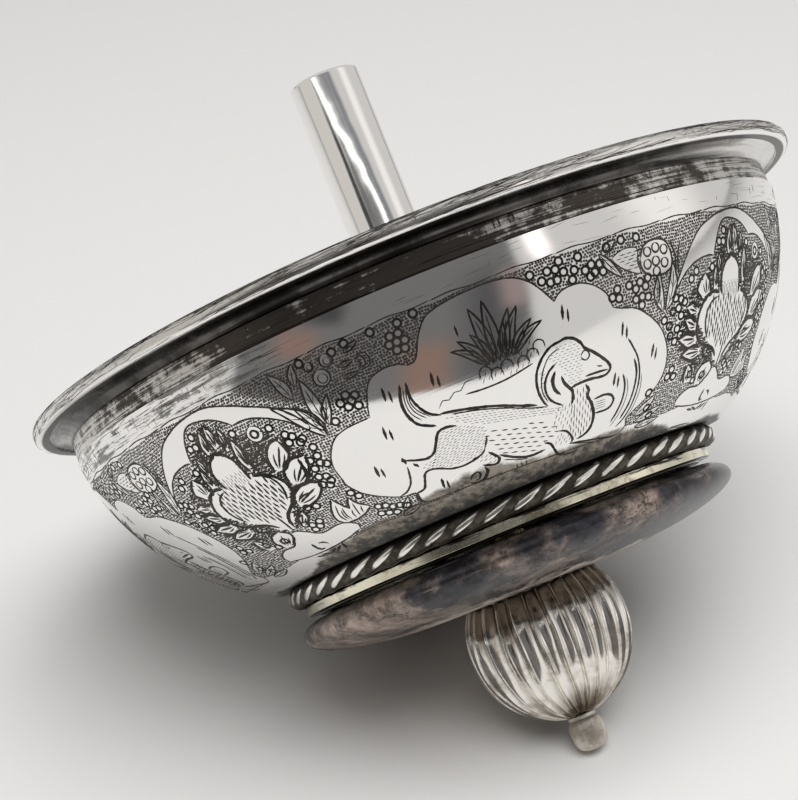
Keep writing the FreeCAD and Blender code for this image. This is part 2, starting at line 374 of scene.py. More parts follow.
# The outside from lip to floor, the hole for the rod, then the inside back up to the lip
bowl_outline = [wall_at(down) for down in np.linspace(0, wall_length, 48)]
bowl_outline += [(rod_hole, floor_z), (rod_hole, floor_z + sheet)]
inner_heights = np.linspace(0, 1, 40)
bowl_outline += [
    (inner_wall_radius(z), z) for z in floor_z + sheet + (lip_z - floor_z - sheet) * inner_heights
]
bowl = turned("bowl", bowl_outline, bowl_metal, steps=320)
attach(bowl, "bowl")
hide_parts("bowl_shell")

# Engraving: four panels round the bowl, each a leaping ibex in a lobed field beside a palmette.
# The lines are graver cuts that were left black. The ground between is matted with a blunt punch,
# and small ring punches stand for berries.
panels = 4
cut_sink = 0.012 * mm
cut_rise = 0.022 * mm
cut_taper = 0.7 * mm
cut_end_share = 0.3
hand = random.Random(7)
cuts = []
plain_fields = []


def blackened(name, dark, pale, scale, roughness):
    # Silver left black with soot and old polish, darker and duller in places
    made, tree, shader = metal(name, dark, roughness=roughness)
    places = add(tree, "ShaderNodeTexCoord").outputs
    soot = noise(tree, places["Object"], scale=scale, detail=6.0, roughness=0.7)
    tree.links.new(tinted(tree, ramp(tree, soot, 0.36, 0.66), dark, pale), shader.inputs["Base Color"])
    dulled = ramp(tree, soot, 0.3, 0.7, start=roughness + 0.14, end=roughness - 0.12)
    tree.links.new(dulled, shader.inputs["Roughness"])
    return made


engraved_metal = blackened("blackened cuts", dark=(0.027, 0.025, 0.023), pale=(0.085, 0.077, 0.068),
                           scale=210.0, roughness=0.42)
matted_metal = blackened("matted ground", dark=(0.064, 0.060, 0.056), pale=(0.165, 0.155, 0.143),
                         scale=150.0, roughness=0.5)


def degree_length(down):
    # Millimetres along the wall in one degree of turn, at this many millimetres below the lip
    return wall_at(down * mm)[0] / mm * math.pi / 180


def flowing(points, closed=False):
    # A smooth run through points of turn in degrees and millimetres down from the lip
    knots = [np.array(p, float) for p in points]
    if closed:
        knots = [knots[-1]] + knots + knots[:2]
    else:
        knots = [2 * knots[0] - knots[1]] + knots + [2 * knots[-1] - knots[-2]]
    run = []
    for a, b, c, d in zip(knots, knots[1:], knots[2:], knots[3:]):
        length = math.hypot((c[0] - b[0]) * degree_length(b[1]), c[1] - b[1])
        for t in np.linspace(0, 1, max(2, math.ceil(length / 0.5)), endpoint=False):
            bend = (c - a) * t + (2 * a - 5 * b + 4 * c - d) * t ** 2
            run.append(b + (bend + (3 * b - a - 3 * c + d) * t ** 3) / 2)
    if not closed:
        run.append(knots[-2])
    return run


def cut(*points, width):
    # One graver cut through points of turn in degrees and millimetres down
    cuts.append((flowing(points), width))


def dash(turn, down, length, slant, width):
    # One short straight cut, its slant in degrees to the right of upright
    across = math.sin(math.radians(slant)) * length / 2 / degree_length(down)
    rise = math.cos(math.radians(slant)) * length / 2
    cut((turn + across, down - rise), (turn - across, down + rise), width=width)


def field(*points, width):
    # A closed outline that the matting leaves plain
    run = flowing(points, closed=True)
    plain_fields.append(run)
    cuts.append((run + run[:1], width))


def lobed(*lobes, width=0.26):
    # A plain field edged by lobes that meet in points
    runs = [flowing(lobe) for lobe in lobes]
    plain_fields.append([p for run in runs for p in run])
    cuts.extend((run, width) for run in runs)


def leaf(base, tip, breadth, bow, width, veins):
    # A pointed leaf, its breadth and bow as shares of its length, with a midrib and side veins
    scale = degree_length((base[1] + tip[1]) / 2)
    way = Vector(((tip[0] - base[0]) * scale, tip[1] - base[1]))
    side = Vector((-way.y, way.x))

    def spot(along, aside):
        place = way * along + side * (aside + bow * 4 * along * (1 - along))
        return (base[0] + place.x / scale, base[1] + place.y)

    half = breadth / 2
    shape = ((0, 0), (0.18, 0.7), (0.45, 1), (0.75, 0.6), (1, 0))
    left = [spot(along, half * share) for along, share in shape]
    right = [spot(along, -half * share) for along, share in reversed(shape)]
    lobed(left, right, width=width)
    cut(spot(0.05, 0), spot(0.4, 0), spot(0.78, 0), width=width * 0.6)
    for k in range(veins):
        start = 0.2 + 0.55 * k / veins
        for way_out in (-1, 1):
            cut(spot(start, 0.1 * half * way_out), spot(start + 0.16, half * 0.62 * way_out),
                width=width * 0.5)


def within(turns, downs, outline):
    # Which of the places lie inside a closed outline
    found = np.zeros(np.shape(turns), bool)
    for a, b in zip(outline, list(outline[1:]) + [outline[0]]):
        crosses = (a[1] > downs) != (b[1] > downs)
        rise = b[1] - a[1] if abs(b[1] - a[1]) > 1e-9 else 1e-9
        found ^= crosses & (turns < a[0] + (b[0] - a[0]) * (downs - a[1]) / rise)
    return found


finest_cut = 0.19


def hatch(outline, slant, row_gap, length, gap, width=finest_cut):
    # Rows of short cuts over an area, their slant in degrees to the right of upright
    area = flowing(outline, closed=True)
    turns = [p[0] for p in area]
    downs = [p[1] for p in area]
    centre = (min(turns) + max(turns)) / 2, (min(downs) + max(downs)) / 2
    scale = degree_length(centre[1])
    span = math.hypot((max(turns) - min(turns)) * scale, max(downs) - min(downs)) / 2
    turn = math.radians(slant)
    for row, across in enumerate(np.arange(-span, span, row_gap)):
        for run in np.arange(-span, span, length + gap):
            run += (length + gap) / 2 * (row % 2) + hand.uniform(-0.08, 0.08)
            x = across * math.cos(turn) + run * math.sin(turn)
            y = across * math.sin(turn) - run * math.cos(turn)
            place = (centre[0] + x / scale, centre[1] + y)
            if within(np.array(place[0]), np.array(place[1]), area):
                drawn = length * hand.uniform(0.8, 1.1)
                dash(*place, drawn, slant + hand.uniform(-5, 5), width)


def circle(turn, down, radius, width):
    # A round outline with a plain middle
    angles = np.arange(8) * full_turn / 8
    scale = degree_length(down)
    field(*[(turn + radius * math.sin(a) / scale, down - radius * math.cos(a)) for a in angles],
          width=width)


# The lobed field that holds the animal
lobed(
    [(-12.4, 24), (-12.6, 23.2), (-15, 23), (-18, 21.7), (-20.3, 20.2), (-21.5, 18.5), (-21.5, 17.5),
     (-21.3, 15.5), (-20.3, 14), (-18.5, 12.6), (-16, 12), (-12, 11.9)],
    [(-12, 11.9), (-11.8, 11.2), (-10.5, 9), (-9.2, 8), (-7, 7.6), (-5, 7.8), (-4, 8.3)],
    [(-4, 8.3), (-2.6, 8), (-1.2, 6), (0.5, 4.4), (2.5, 3.8), (5, 3.5), (8, 3.35), (11, 3.4), (13.5, 3.8),
     (15.5, 4.8), (17, 6.2), (18.1, 7.6)],
    [(18.1, 7.6), (19.5, 6.8), (22, 6.6), (24, 7.1), (25.6, 8), (26.6, 9), (27, 10.3)],
    [(27, 10.3), (28.5, 10.7), (31, 11.2), (33.5, 12.5), (35.5, 14), (36.8, 15.6), (37.6, 17.5),
     (37.5, 19.5), (36.3, 21.2), (34, 22.6), (31.5, 23.7), (30.2, 24.6), (30.3, 25.6), (29, 26.5)],
    [(29, 26.5), (18, 26.2), (8, 25.8), (-4, 25.5), (-11.8, 25.3), (-12.4, 24)],
)

# The ibex: tail, back, hind legs, belly, forelegs, chest, head and horn
first_line = len(cuts)
cut((-6.1, 9.9), (-6.9, 11.5), (-7.1, 13), (-6.6, 14.4), (-5.8, 15.1), (-3.8, 15.9), width=0.42)
cut((-5.2, 9.9), (-5.5, 11.5), (-5, 13), (-4, 14.2), (-2.5, 14.9), width=0.36)
cut((-5.9, 10.4), (-6.5, 12), (-6.4, 13.4), (-5.4, 14.6), width=0.16)
cut((-5.5, 10.4), (-6.1, 12), (-5.8, 13.4), (-4.6, 14.6), width=0.16)
cut((-5.3, 10.8), (-5.8, 12), (-5.4, 13.3), (-4, 14.6), width=0.16)
cut((-2.6, 14.7), (0, 15.1), (3, 15.7), (6, 16.4), (9, 17.3), (12.2, 18.2), width=0.42)
cut((-1, 15.25), (3, 16), (7, 17), (11, 18.2), (13.8, 18.8), width=0.2)
cut((-1, 16.8), (-2.6, 16.5), (-4, 16.7), (-5, 17.8), (-6, 18.9), (-7.3, 19.3), (-9, 19), (-10.8, 18.4),
    width=0.4)
cut((-11, 17.9), (-11, 18.9), width=0.55)
cut((-11.1, 19.3), (-11.3, 20), (-12.2, 21.6), (-13.8, 22.6), (-15.4, 22.8), width=0.3)
cut((-9.9, 19.2), (-9.4, 19.9), width=0.6)
cut((-12.8, 23.4), (-10.8, 23.2), (-9.9, 22.2), (-9.2, 21.2), (-8.2, 20.9), (-6.6, 21.2), (-4.8, 21.9),
    (-2.6, 22.2), (-0.5, 22), (1.2, 21.6), (2, 21), width=0.36)
cut((-12.6, 23.5), (-12.7, 24.5), (-12.2, 25.3), width=0.5)
cut((3, 19.5), (2.4, 20.4), (1.9, 21), width=0.34)
cut((2.3, 21.7), (3.3, 22.6), (3.8, 23.2), (3.2, 23.8), (2, 23.7), (0.6, 23.2), width=0.42)
cut((0.8, 23.6), (1.1, 24.3), (0.5, 25), (-0.4, 25.5), (-2.1, 25.5), (-2.7, 25.1), width=0.5)
cut((-2.6, 24.8), (-2, 24.2), (-0.8, 23.9), (-0.4, 24.4), (-0.9, 25), (-1.6, 25.1), width=0.32)
cut((4, 22.7), (6, 23.7), (8, 24.4), (10, 24.7), (12.5, 24.6), width=0.42)
cut((4.4, 23.6), (7, 24.5), (9, 24.9), width=0.2)
cut((12.4, 23.5), (13.6, 24), (14.3, 25), (15, 26), (16, 26.4), (19, 26.8), width=0.36)
cut((15.4, 22.6), (16.8, 23), (17.8, 23.9), (18.2, 24.7), (17.6, 25.1), width=0.34)
cut((21, 17.8), (21.5, 18.7), (21.2, 19.4), (21.9, 20.4), (22.4, 21.8), (22.3, 23), (21.7, 24),
    (20.5, 24.6), (19, 24.8), width=0.44)
cut((17, 15.8), (17.2, 16.6), (17.9, 17.4), (18.5, 18), (18.5, 18.9), (18.3, 19.6), width=0.42)
cut((17.2, 12), (18.6, 11.8), (20, 12.2), (21, 13), (21.4, 13.6), (22.5, 14.2), (24, 15.2), (25.3, 16.2),
    (25.7, 16.9), (25.2, 17.4), (24.2, 17.6), (21.5, 17.4), (19, 17.5), (18.3, 17.7), width=0.4)
cut((25.2, 17), (23.5, 16.9), (21, 16.85), width=0.34)
cut((23.2, 16.1), (24.2, 16.4), width=0.3)
cut((20.6, 14.4), (21.1, 13.9), (21.8, 14), (22.1, 14.6), (21.5, 15), (20.9, 14.8), (20.6, 14.4),
    width=0.22)
cut((18, 11.9), (16.2, 12.1), (14.6, 12.9), (13.3, 14.2), (12.8, 15.6), (12.9, 17), (13.5, 18.3),
    (14, 18.8), width=0.36)
cut((16.4, 14.2), (15.2, 14.7), (14.2, 15.8), (14.0, 17), (14.7, 18.3), (16.5, 19.4), width=0.34)
cut((17.4, 12.6), (15.6, 13.1), (14.4, 14.2), (13.6, 15.6), (13.5, 17), (14.1, 18.3), width=0.18)
cut((16.1, 15), (15.4, 16), (15.6, 17.2), (16.4, 18), width=0.48)
cut((22.4, 20.1), (24.5, 20), (25.8, 20.3), (26.5, 21), (26, 21.8), (24.8, 22.1), (22.6, 22), width=0.38)
outline_weight = 1.22
cuts[first_line:] = [(run, width * outline_weight) for run, width in cuts[first_line:]]
for down in (20.6, 20.9, 21.2, 21.5):
    cut((22.7, down), (24.8, down + 0.05), width=0.13)
hatch([(-5.6, 18.4), (-4, 17), (0, 17), (3, 18.6), (2.3, 20.3), (0, 21.8), (-4, 21.6), (-8, 20.7),
       (-6, 19.4)], slant=78, row_gap=0.27, length=0.42, gap=0.16)
hatch([(-9.4, 20.4), (-8, 19.9), (-6, 19.8), (-6.4, 20.6), (-8.6, 20.8)], slant=84, row_gap=0.3, length=0.4,
      gap=0.2)
hatch([(-2, 15.3), (4, 16.4), (12, 18.4), (16.5, 19.7), (15, 20.1), (8, 18.9), (2, 17.6)], slant=105,
      row_gap=0.29, length=0.36, gap=0.15)
hatch([(3, 19), (8, 19.6), (14, 21), (15.5, 22.4), (12.5, 24.2), (8, 24), (4, 22.4)], slant=112,
      row_gap=0.62, length=0.72, gap=0.42, width=0.34)
hatch([(18.6, 18.4), (21, 18.6), (22, 21), (21.8, 23.4), (19.5, 24.4), (17.4, 22.4)], slant=4, row_gap=0.34,
      length=0.9, gap=0.25)
hatch([(14.6, 20.2), (18, 19.4), (18.6, 22), (17, 22.6), (15, 22.2)], slant=20, row_gap=0.4, length=0.6,
      gap=0.3)
hatch([(15.6, 12.9), (19.5, 12.4), (20.6, 13.8), (20.2, 17), (18.4, 17.2), (17.4, 15.4)], slant=90,
      row_gap=0.33, length=0.32, gap=0.24)
hatch([(15.2, 23), (17, 23.6), (17.6, 24.6), (16, 24.9), (14.6, 24.2)], slant=20, row_gap=0.32, length=0.5,
      gap=0.25)
hatch([(0.4, 22.3), (2.2, 21.9), (3.4, 23), (2.6, 23.5)], slant=60, row_gap=0.34, length=0.5, gap=0.2)
hatch([(13.4, 14.8), (14, 13.8), (14.4, 15.6), (14.1, 17.6), (13.4, 17.4)], slant=84, row_gap=0.3,
      length=0.4, gap=0.4)

# Grass behind the animal, and flecks on the field
cut((29.2, 14.2), (30.2, 15.5), (31.2, 17), (31.7, 19), (31.5, 21), (30.6, 23), (29.3, 24.4), (27.8, 25.2),
    width=0.34)
cut((30.4, 16.8), (31, 18.5), (30.8, 20.5), (30, 22.5), (28.5, 24.2), width=0.4)
cut((28.2, 18.2), (28.7, 19.8), (28.4, 21.5), (27.5, 23), (26.3, 24.2), width=0.4)
cut((29, 18.8), (29.4, 20.4), (29, 22), (27.9, 23.6), (26.4, 24.8), width=0.16)
cut((32.2, 19), (32.2, 21), (31.3, 23), (29.8, 24.7), width=0.16)
cut((17.5, 25.1), (21, 25.6), (25, 26.2), (28, 26.6), width=0.42)
cut((18.2, 25.3), (21, 25.9), (24, 26.5), width=0.24)
for turn, down in (
    (-11, 14.5), (-15.5, 18.5), (-7, 23.7), (28.6, 13.2), (19.3, 9.2), (34.5, 16.8), (26.8, 18.7),
    (-8.4, 10.4), (-1.3, 10.9),
):
    dash(turn - 0.32, down - 0.2, length=1.6, slant=10, width=0.5)
    dash(turn + 0.42, down + 0.3, length=1.4, slant=8, width=0.42)
for turn in (6.6, 7.5, 8.5):
    dash(turn, 25.45, length=0.8, slant=0, width=0.3)
dash(3.9, 6.9, length=1.3, slant=2, width=0.34)

# The bush: blades springing from one root over a scalloped clump
for blade_tip, bow in (
    ((2.1, 8.7), 0.10), ((3.4, 7.9), 0.06), ((5.4, 7.7), 0.05), ((6.3, 5.1), 0.02), ((8.4, 4.8), 0.0),
    ((10.4, 7.6), -0.03), ((11.6, 6.5), -0.05), ((12.8, 6.6), -0.06), ((14.4, 8.4), -0.08),
    ((15.8, 9), -0.10),
):
    leaf((8.4 + (blade_tip[0] - 8.4) * 0.32, 11.6), blade_tip, breadth=0.2, bow=bow, width=0.32, veins=1)
for turn, down in ((5.8, 12.3), (7.4, 12.9), (9.1, 12.4), (10.4, 11.4), (11.6, 12.7), (13.2, 12.3),
                   (14.4, 11.6)):
    cut((turn - 0.9, down + 0.5), (turn - 0.8, down - 0.4), (turn, down - 0.75), (turn + 0.8, down - 0.4),
        (turn + 0.9, down + 0.4), width=0.24)
hatch([(5, 11.6), (9, 10.9), (14, 10.9), (13.5, 12.8), (9, 13.4), (5, 13.2)], slant=30, row_gap=0.55,
      length=0.6, gap=0.3)
cut((2, 13.7), (5, 13.9), (8.7, 13.8), (13, 13.2), width=0.32)
cut((-2.4, 14.1), (-1.4, 13.4), (-0.5, 13.6), (0.6, 13), (1.6, 13.1), (2.6, 12.4), (3.8, 12.4), width=0.18)

# The palmette's plain ribbon, from one side of the trefoil to the other
lobed(
    [(-52, 12), (-50.5, 9.8), (-48, 7.2), (-45, 5), (-42, 4), (-38.5, 3.4), (-34, 3.3), (-30, 4.3),
     (-27, 5.4), (-24, 6.6), (-22, 8), (-20.5, 10)],
    [(-20.5, 10), (-21, 10.4), (-23, 8.7), (-25, 7.6), (-27, 6.8), (-29, 6.4), (-31, 6.4)],
    [(-31, 6.4), (-32, 5.7), (-33.5, 4.9), (-35.5, 4.4), (-37.5, 4.2), (-39, 4.6), (-40.3, 5.7), (-41.2, 7),
     (-41.8, 8)],
    [(-41.8, 8), (-43, 7.8), (-46, 8.1), (-48.5, 9), (-50.6, 10.5), (-52, 12)],
    width=0.3,
)

# The palmette: a bud over an oval of hatched petals, in a ring of leaves with heavy outlines
lobed(
    [(-39.6, 12.5), (-39.9, 11.2), (-39.6, 9.9), (-38.4, 8.8), (-36.9, 8.4)],
    [(-36.9, 8.4), (-35.6, 8.7), (-34.7, 9.7), (-34.4, 11), (-34.4, 12.7)],
    width=0.56,
)
hatch([(-39.3, 11.3), (-34.7, 11.3), (-34.4, 12.9), (-39.4, 12.9)], slant=0, row_gap=0.34, length=0.6,
      gap=0.1, width=0.2)
cut((-40.2, 12.2), (-42, 11.9), (-43.8, 12.4), (-45.2, 13.6), (-45.7, 15), (-45.4, 16.4), (-44.4, 17.4),
    (-42.6, 18), (-41, 18.3), (-39.5, 18.9), (-38.3, 19.8), width=0.62)
cut((-40.6, 12.6), (-42.2, 13), (-43.3, 14), (-43.5, 15.2), (-43, 16.4), (-42.3, 17.2), width=0.42)
cut((-33.8, 12.4), (-32.2, 12.7), (-31, 13.3), (-30.1, 14.2), (-29.7, 15.2), (-30, 16.1), (-31, 16.9),
    (-32, 17.6), (-33.2, 18.1), (-34.5, 18.7), (-35.4, 19.5), (-35.9, 20.5), width=0.62)
cut((-32.6, 12.8), (-31.5, 13.4), (-30.9, 14.6), (-31.2, 15.8), (-32, 16.8), width=0.4)
cut((-36.7, 18), (-36.6, 19.4), (-36.8, 20.9), width=0.4)
plain_fields.append(flowing([
    (-45.6, 15), (-43.6, 12.4), (-37, 12), (-31.5, 12.8), (-29.8, 15), (-32, 17.6), (-36.8, 20.8),
    (-41, 18.3),
], closed=True))
hatch([(-43, 13), (-37, 12.8), (-31.8, 13.2), (-31, 15), (-33, 17.2), (-37, 18.4), (-41.2, 17.4),
       (-43, 15.4)], slant=0, row_gap=0.5, length=1.2, gap=0.12, width=0.44)
for edges in (
    ([(-30, 13.1), (-29.4, 11.2), (-27.8, 10), (-25.7, 9.8)],
     [(-25.7, 9.8), (-25.5, 11.3), (-26.7, 12.6), (-28.3, 13.5)]),
    ([(-29.3, 15.3), (-28.7, 13.6), (-26.4, 12.6), (-23.9, 12.8)],
     [(-23.9, 12.8), (-24.5, 14.2), (-25.8, 15.3), (-27.6, 16)]),
    ([(-31, 17.3), (-29.6, 16.2), (-27.4, 15.8), (-24.7, 16.6)],
     [(-24.7, 16.6), (-26.1, 17.8), (-28.2, 18.6), (-31.4, 18.8)]),
    ([(-34.5, 20.5), (-33.4, 19.4), (-31.6, 19)], [(-31.6, 19), (-32, 20.3), (-33.9, 21)]),
    ([(-33.4, 12), (-33.9, 10.2), (-33.4, 8.4), (-32.8, 7.4)], [(-32.8, 7.4), (-32.2, 9), (-32.5, 11)]),
    ([(-38, 8.2), (-38.2, 7), (-37.4, 5.7), (-36.8, 5.3)], [(-36.8, 5.3), (-36.6, 6.6), (-37, 7.9)]),
    ([(-36.2, 7.9), (-36.4, 6.4), (-35.6, 4.8)], [(-35.6, 4.8), (-34.8, 6), (-35, 7.8)]),
    ([(-34.6, 8.6), (-34.5, 7.2), (-33.7, 5.8)], [(-33.7, 5.8), (-33.2, 7), (-33.7, 8.4)]),
    ([(-44.9, 12.3), (-46.1, 11.4), (-45.3, 10.3), (-44, 9.6)], [(-44, 9.6), (-43, 10.5), (-42.7, 12)]),
    ([(-42, 11.6), (-42.1, 10.2), (-41.3, 9)], [(-41.3, 9), (-40.8, 10.2), (-40.7, 11.6)]),
    ([(-40.6, 10.4), (-41, 9), (-40.4, 7.8)], [(-40.4, 7.8), (-39.8, 8.7), (-40, 10)]),
    ([(-46, 14.2), (-47.5, 14), (-48.6, 12.9)], [(-48.6, 12.9), (-47, 12.5), (-45.6, 13.4)]),
    ([(-46, 15.9), (-47.7, 15.7), (-49, 14.2)], [(-49, 14.2), (-47.2, 14.1), (-45.9, 14.9)]),
    ([(-45.4, 17.5), (-47.6, 17.7), (-50.2, 16.4)], [(-50.2, 16.4), (-48, 15.8), (-45.6, 16.3)]),
    ([(-43.4, 19), (-46, 19.4), (-49, 18.4)], [(-49, 18.4), (-46.4, 17.7), (-44, 18.1)]),
    ([(-46.2, 22.2), (-46.9, 21), (-46.2, 19.8)], [(-46.2, 19.8), (-44.8, 20.6), (-44.2, 22)]),
    ([(-42.6, 22.9), (-43, 21.4), (-41.6, 20.3), (-39.6, 20.2)],
     [(-39.6, 20.2), (-38.2, 21), (-38.6, 22), (-40.4, 22.8)]),
):
    lobed(*edges, width=0.5)
    leaf_foot = [(a + b) / 2 for a, b in zip(edges[0][0], edges[1][-1])]
    leaf_tip = edges[1][0]
    for offset, start, end, width in ((0.0, 0.1, 0.74, 0.4), (-0.3, 0.08, 0.5, 0.3),
                                      (0.3, 0.12, 0.56, 0.3)):
        spread = [offset * (edges[1][1][k] - edges[0][-2][k]) for k in (0, 1)]
        cut(*[
            tuple(
                leaf_foot[k] + (leaf_tip[k] - leaf_foot[k]) * t + spread[k] * math.sin(math.pi * t)
                for k in (0, 1)
            )
            for t in (start, (start + end) / 2, end)
        ], width=width)
for *line, width in (
    ((-44, 9.7), (-43, 10.5), (-42.7, 12), 0.65), ((-41.2, 9.2), (-40.8, 10.2), (-40.7, 11.4), 0.5),
    ((-48.4, 12.8), (-47, 12.6), (-45.9, 13.3), 0.5), ((-48.8, 14.2), (-47.2, 14.2), (-46, 15), 0.5),
    ((-50.2, 16.3), (-48, 15.9), (-45.4, 16.4), 0.7), ((-48.6, 18), (-46.4, 17.7), (-44.2, 18), 0.45),
    ((-43.3, 18.2), (-42.6, 18.9), (-42.4, 19.6), 0.55), ((-46.9, 19.8), (-46.9, 21), (-47.3, 21.8), 0.75),
    ((-44.2, 20.2), (-43.8, 21), (-43.6, 21.8), 0.4), ((-29, 13.7), (-27, 12.6), (-25.1, 12.4), 0.6),
    ((-25.2, 12.8), (-25.6, 14.6), (-26.3, 15.8), 0.6), ((-30.6, 16.8), (-28.6, 16), (-26, 16), 0.6),
    ((-30.2, 17.5), (-29, 17.2), (-27.6, 17.2), 0.36), ((-34.2, 19.9), (-33.2, 19.5), (-32.2, 19.5), 0.55),
    ((-29.9, 10.2), (-30, 11.4), (-29.9, 12.8), 0.55), ((-32.3, 9.9), (-32.5, 11), (-32.1, 12.2), 0.55),
    ((-26.2, 10), (-25.9, 11), (-26, 12.2), 0.5), ((-39.2, 7.6), (-39.1, 8.4), (-39.5, 9.2), 0.6),
    ((-40.2, 20.2), (-40.9, 20.2), (-41.5, 20.5), 0.5),
    ((-38.6, 8.9), (-37.4, 8.3), (-36, 8.4), (-34.9, 9.4), 0.6),
):
    cut(*line, width=width)
for area in (
    [(-31.9, 9.3), (-30.6, 9.1), (-29.9, 10.2), (-30.2, 11.4), (-31.2, 11.6)],
    [(-29.5, 9.4), (-28.2, 9.4), (-28.4, 10.3), (-29.5, 11.2)],
    [(-31.9, 7.7), (-30.2, 7.7), (-30.1, 8.9), (-31.5, 9.1)],
    [(-34.3, 4.8), (-33.1, 5.1), (-32.5, 6.4), (-33.3, 5.9)],
    [(-26.2, 15.4), (-25.3, 14), (-24.9, 15), (-25.5, 16)],
    [(-27.4, 8.2), (-26.6, 8.6), (-27, 9.6), (-27.9, 9.4)],
    [(-49.4, 15.1), (-48.2, 15.7), (-48.8, 16), (-50, 15.9)],
    [(-44.6, 12.9), (-43.4, 12.2), (-42.6, 12.2), (-43.8, 12.9)],
    [(-30, 13.6), (-29.2, 14), (-29.6, 15), (-30, 14.8)],
    [(-32.2, 18), (-31.4, 17.4), (-31.6, 18.6), (-32.6, 18.9)],
    [(-41.8, 18.6), (-40, 19), (-39.4, 20), (-41.2, 20)],
    [(-44.4, 19.6), (-43, 19.6), (-43.2, 20.6), (-44.2, 20.4)],
    [(-40.2, 7.2), (-39, 7.2), (-38.6, 8.4), (-39.6, 8.2)],
):
    hatch(area, slant=90, row_gap=0.26, length=0.5, gap=0.0, width=0.4)
circle(-28.7, 8.3, radius=0.98, width=0.26)
circle(-28.7, 8.3, radius=0.46, width=0.36)
hatch([(-32, 19.6), (-29, 19.8), (-28.8, 21.2), (-31.6, 20.8)], slant=75, row_gap=0.34, length=0.6, gap=0.2)
lobed(
    [(-27.4, 23.3), (-28.2, 22.3), (-27.6, 20.9), (-25.7, 19.1)],
    [(-25.7, 19.1), (-25, 20.5), (-24.4, 21.5)],
    [(-24.4, 21.5), (-23.8, 20.5), (-22.9, 19.9)],
    [(-22.9, 19.9), (-22.5, 21.1), (-20.9, 22.3)],
    [(-20.9, 22.3), (-22.6, 23), (-25, 23.4), (-27.4, 23.3)],
    width=0.42,
)
for line in (
    ((-26.8, 23), (-27, 21.8), (-26, 20.2)), ((-25.8, 23.1), (-25.9, 22), (-25.4, 20.9)),
    ((-24.8, 23.1), (-24.7, 22.3), (-24.2, 21.7)), ((-23.9, 23), (-23.6, 22), (-23.2, 20.9)),
    ((-23, 22.8), (-22.7, 22.2), (-22.3, 21.7)), ((-26.3, 22.9), (-26.4, 22), (-25.9, 21.2)),
):
    cut(*line, width=0.28)
lobed(
    [(-46.5, 25.2), (-46.6, 24.4), (-45.5, 23.6), (-43.5, 23.1), (-41, 23.2), (-39.5, 22.6), (-37.9, 21.2)],
    [(-37.9, 21.2), (-36.6, 21.2), (-35, 22), (-33, 23.1), (-29, 22.9), (-27, 23.3), (-25.8, 24.2),
     (-26.5, 25)],
    [(-26.5, 25), (-31, 25.7), (-37, 26), (-42, 25.8), (-46.5, 25.2)],
    width=0.32,
)
cut((-37.4, 24), (-37.7, 24.8), (-37.4, 25.5), (-36.4, 25.5), width=0.6)
cut((-36.2, 24.3), (-35.2, 24.5), (-34.6, 25.1), width=0.5)
for turn, slant in ((-39.6, -70), (-38, -60), (-36, 65), (-34.6, 60), (-33, 20)):
    dash(turn, 26.6, length=1.4, slant=slant, width=0.5)

# Leaves and flowers in the corners between the field and the palmette
for base, leaf_tip, breadth, bow in (
    ((-19.0, 12), (-24.4, 6.6), 0.26, 0.09), ((-18.7, 11.4), (-21.4, 7.4), 0.26, 0.05),
    ((-18.2, 10.6), (-18.4, 5.0), 0.26, 0.0), ((-17.9, 10.9), (-15.8, 7.6), 0.28, -0.05),
    ((-20.6, 6.8), (-22.4, 3.2), 0.34, 0.06), ((-19.4, 5.6), (-18.4, 3.2), 0.4, -0.05),
    ((-12.8, 6.9), (-10.4, 6.9), 0.3, 0.0), ((-12.6, 5.6), (-10.4, 5.5), 0.34, 0.0),
    ((-11.2, 4.4), (-8.8, 3.8), 0.34, 0.0), ((26.4, 4.4), (29.6, 7.6), 0.24, 0.04),
    ((27.2, 4.4), (29.4, 3.5), 0.5, 0.0), ((36.3, 12.6), (36.3, 8), 0.3, -0.12),
    ((36.8, 12.6), (38.8, 7.2), 0.24, 0.1), ((35, 11.6), (35.6, 8.4), 0.26, 0.0),
    ((-16.4, 25.2), (-14.2, 23.4), 0.4, 0.0), ((-17.6, 25.9), (-12.9, 25.2), 0.36, 0.0),
    ((32.2, 24.6), (36.6, 22.4), 0.36, 0.06), ((32.6, 25.5), (39, 24.2), 0.3, 0.05),
    ((33, 26.3), (39.6, 26), 0.26, 0.03),
):
    leaf(base, leaf_tip, breadth=breadth, bow=bow, width=0.34, veins=2)
for turn, down, radius in ((-15.4, 5.9, 0.95), (-13.8, 4.4, 0.72), (-16.4, 4.3, 0.5)):
    circle(turn, down, radius=radius, width=0.32)
    circle(turn + 0.1, down + 0.1, radius=radius * 0.55, width=0.2)
field((33, 6.2), (33.9, 5), (35.8, 4.6), (37.8, 5), (38.7, 6.3), (38.6, 7.9), (36.6, 8.5), (34.2, 8.2),
      (33, 7.3), width=0.34)
for turn, down in ((34.4, 5.7), (36.0, 5.5), (37.5, 5.9), (34.1, 7.0), (35.7, 6.9), (37.3, 7.3),
                   (35.6, 8.0)):
    circle(turn, down, radius=0.5, width=0.34)
cut((38.9, 5.2), (39.5, 7), (39.2, 9), width=0.4)
cut((40.8, 5.6), (40.0, 7.2), (39.9, 9.2), width=0.34)
field((28.4, 5.3), (30.4, 4.7), (32.7, 5), (32.4, 6.4), (32.6, 7.7), (30.6, 7.1), (29, 6.2), width=0.24)
for reach in (0.5, 1.1, 1.7):
    cut((-10.2, 5.95 - reach / 2), (-10.2 + reach, 5.7 - reach / 4), (-10.2 + reach, 6.2 + reach / 4),
        (-10.2, 5.95 + reach / 2), width=0.26)
hatch([(28.6, 5.4), (32.5, 5.2), (32.4, 7.5), (30.4, 6.8)], slant=90, row_gap=0.34, length=0.9, gap=0.1)
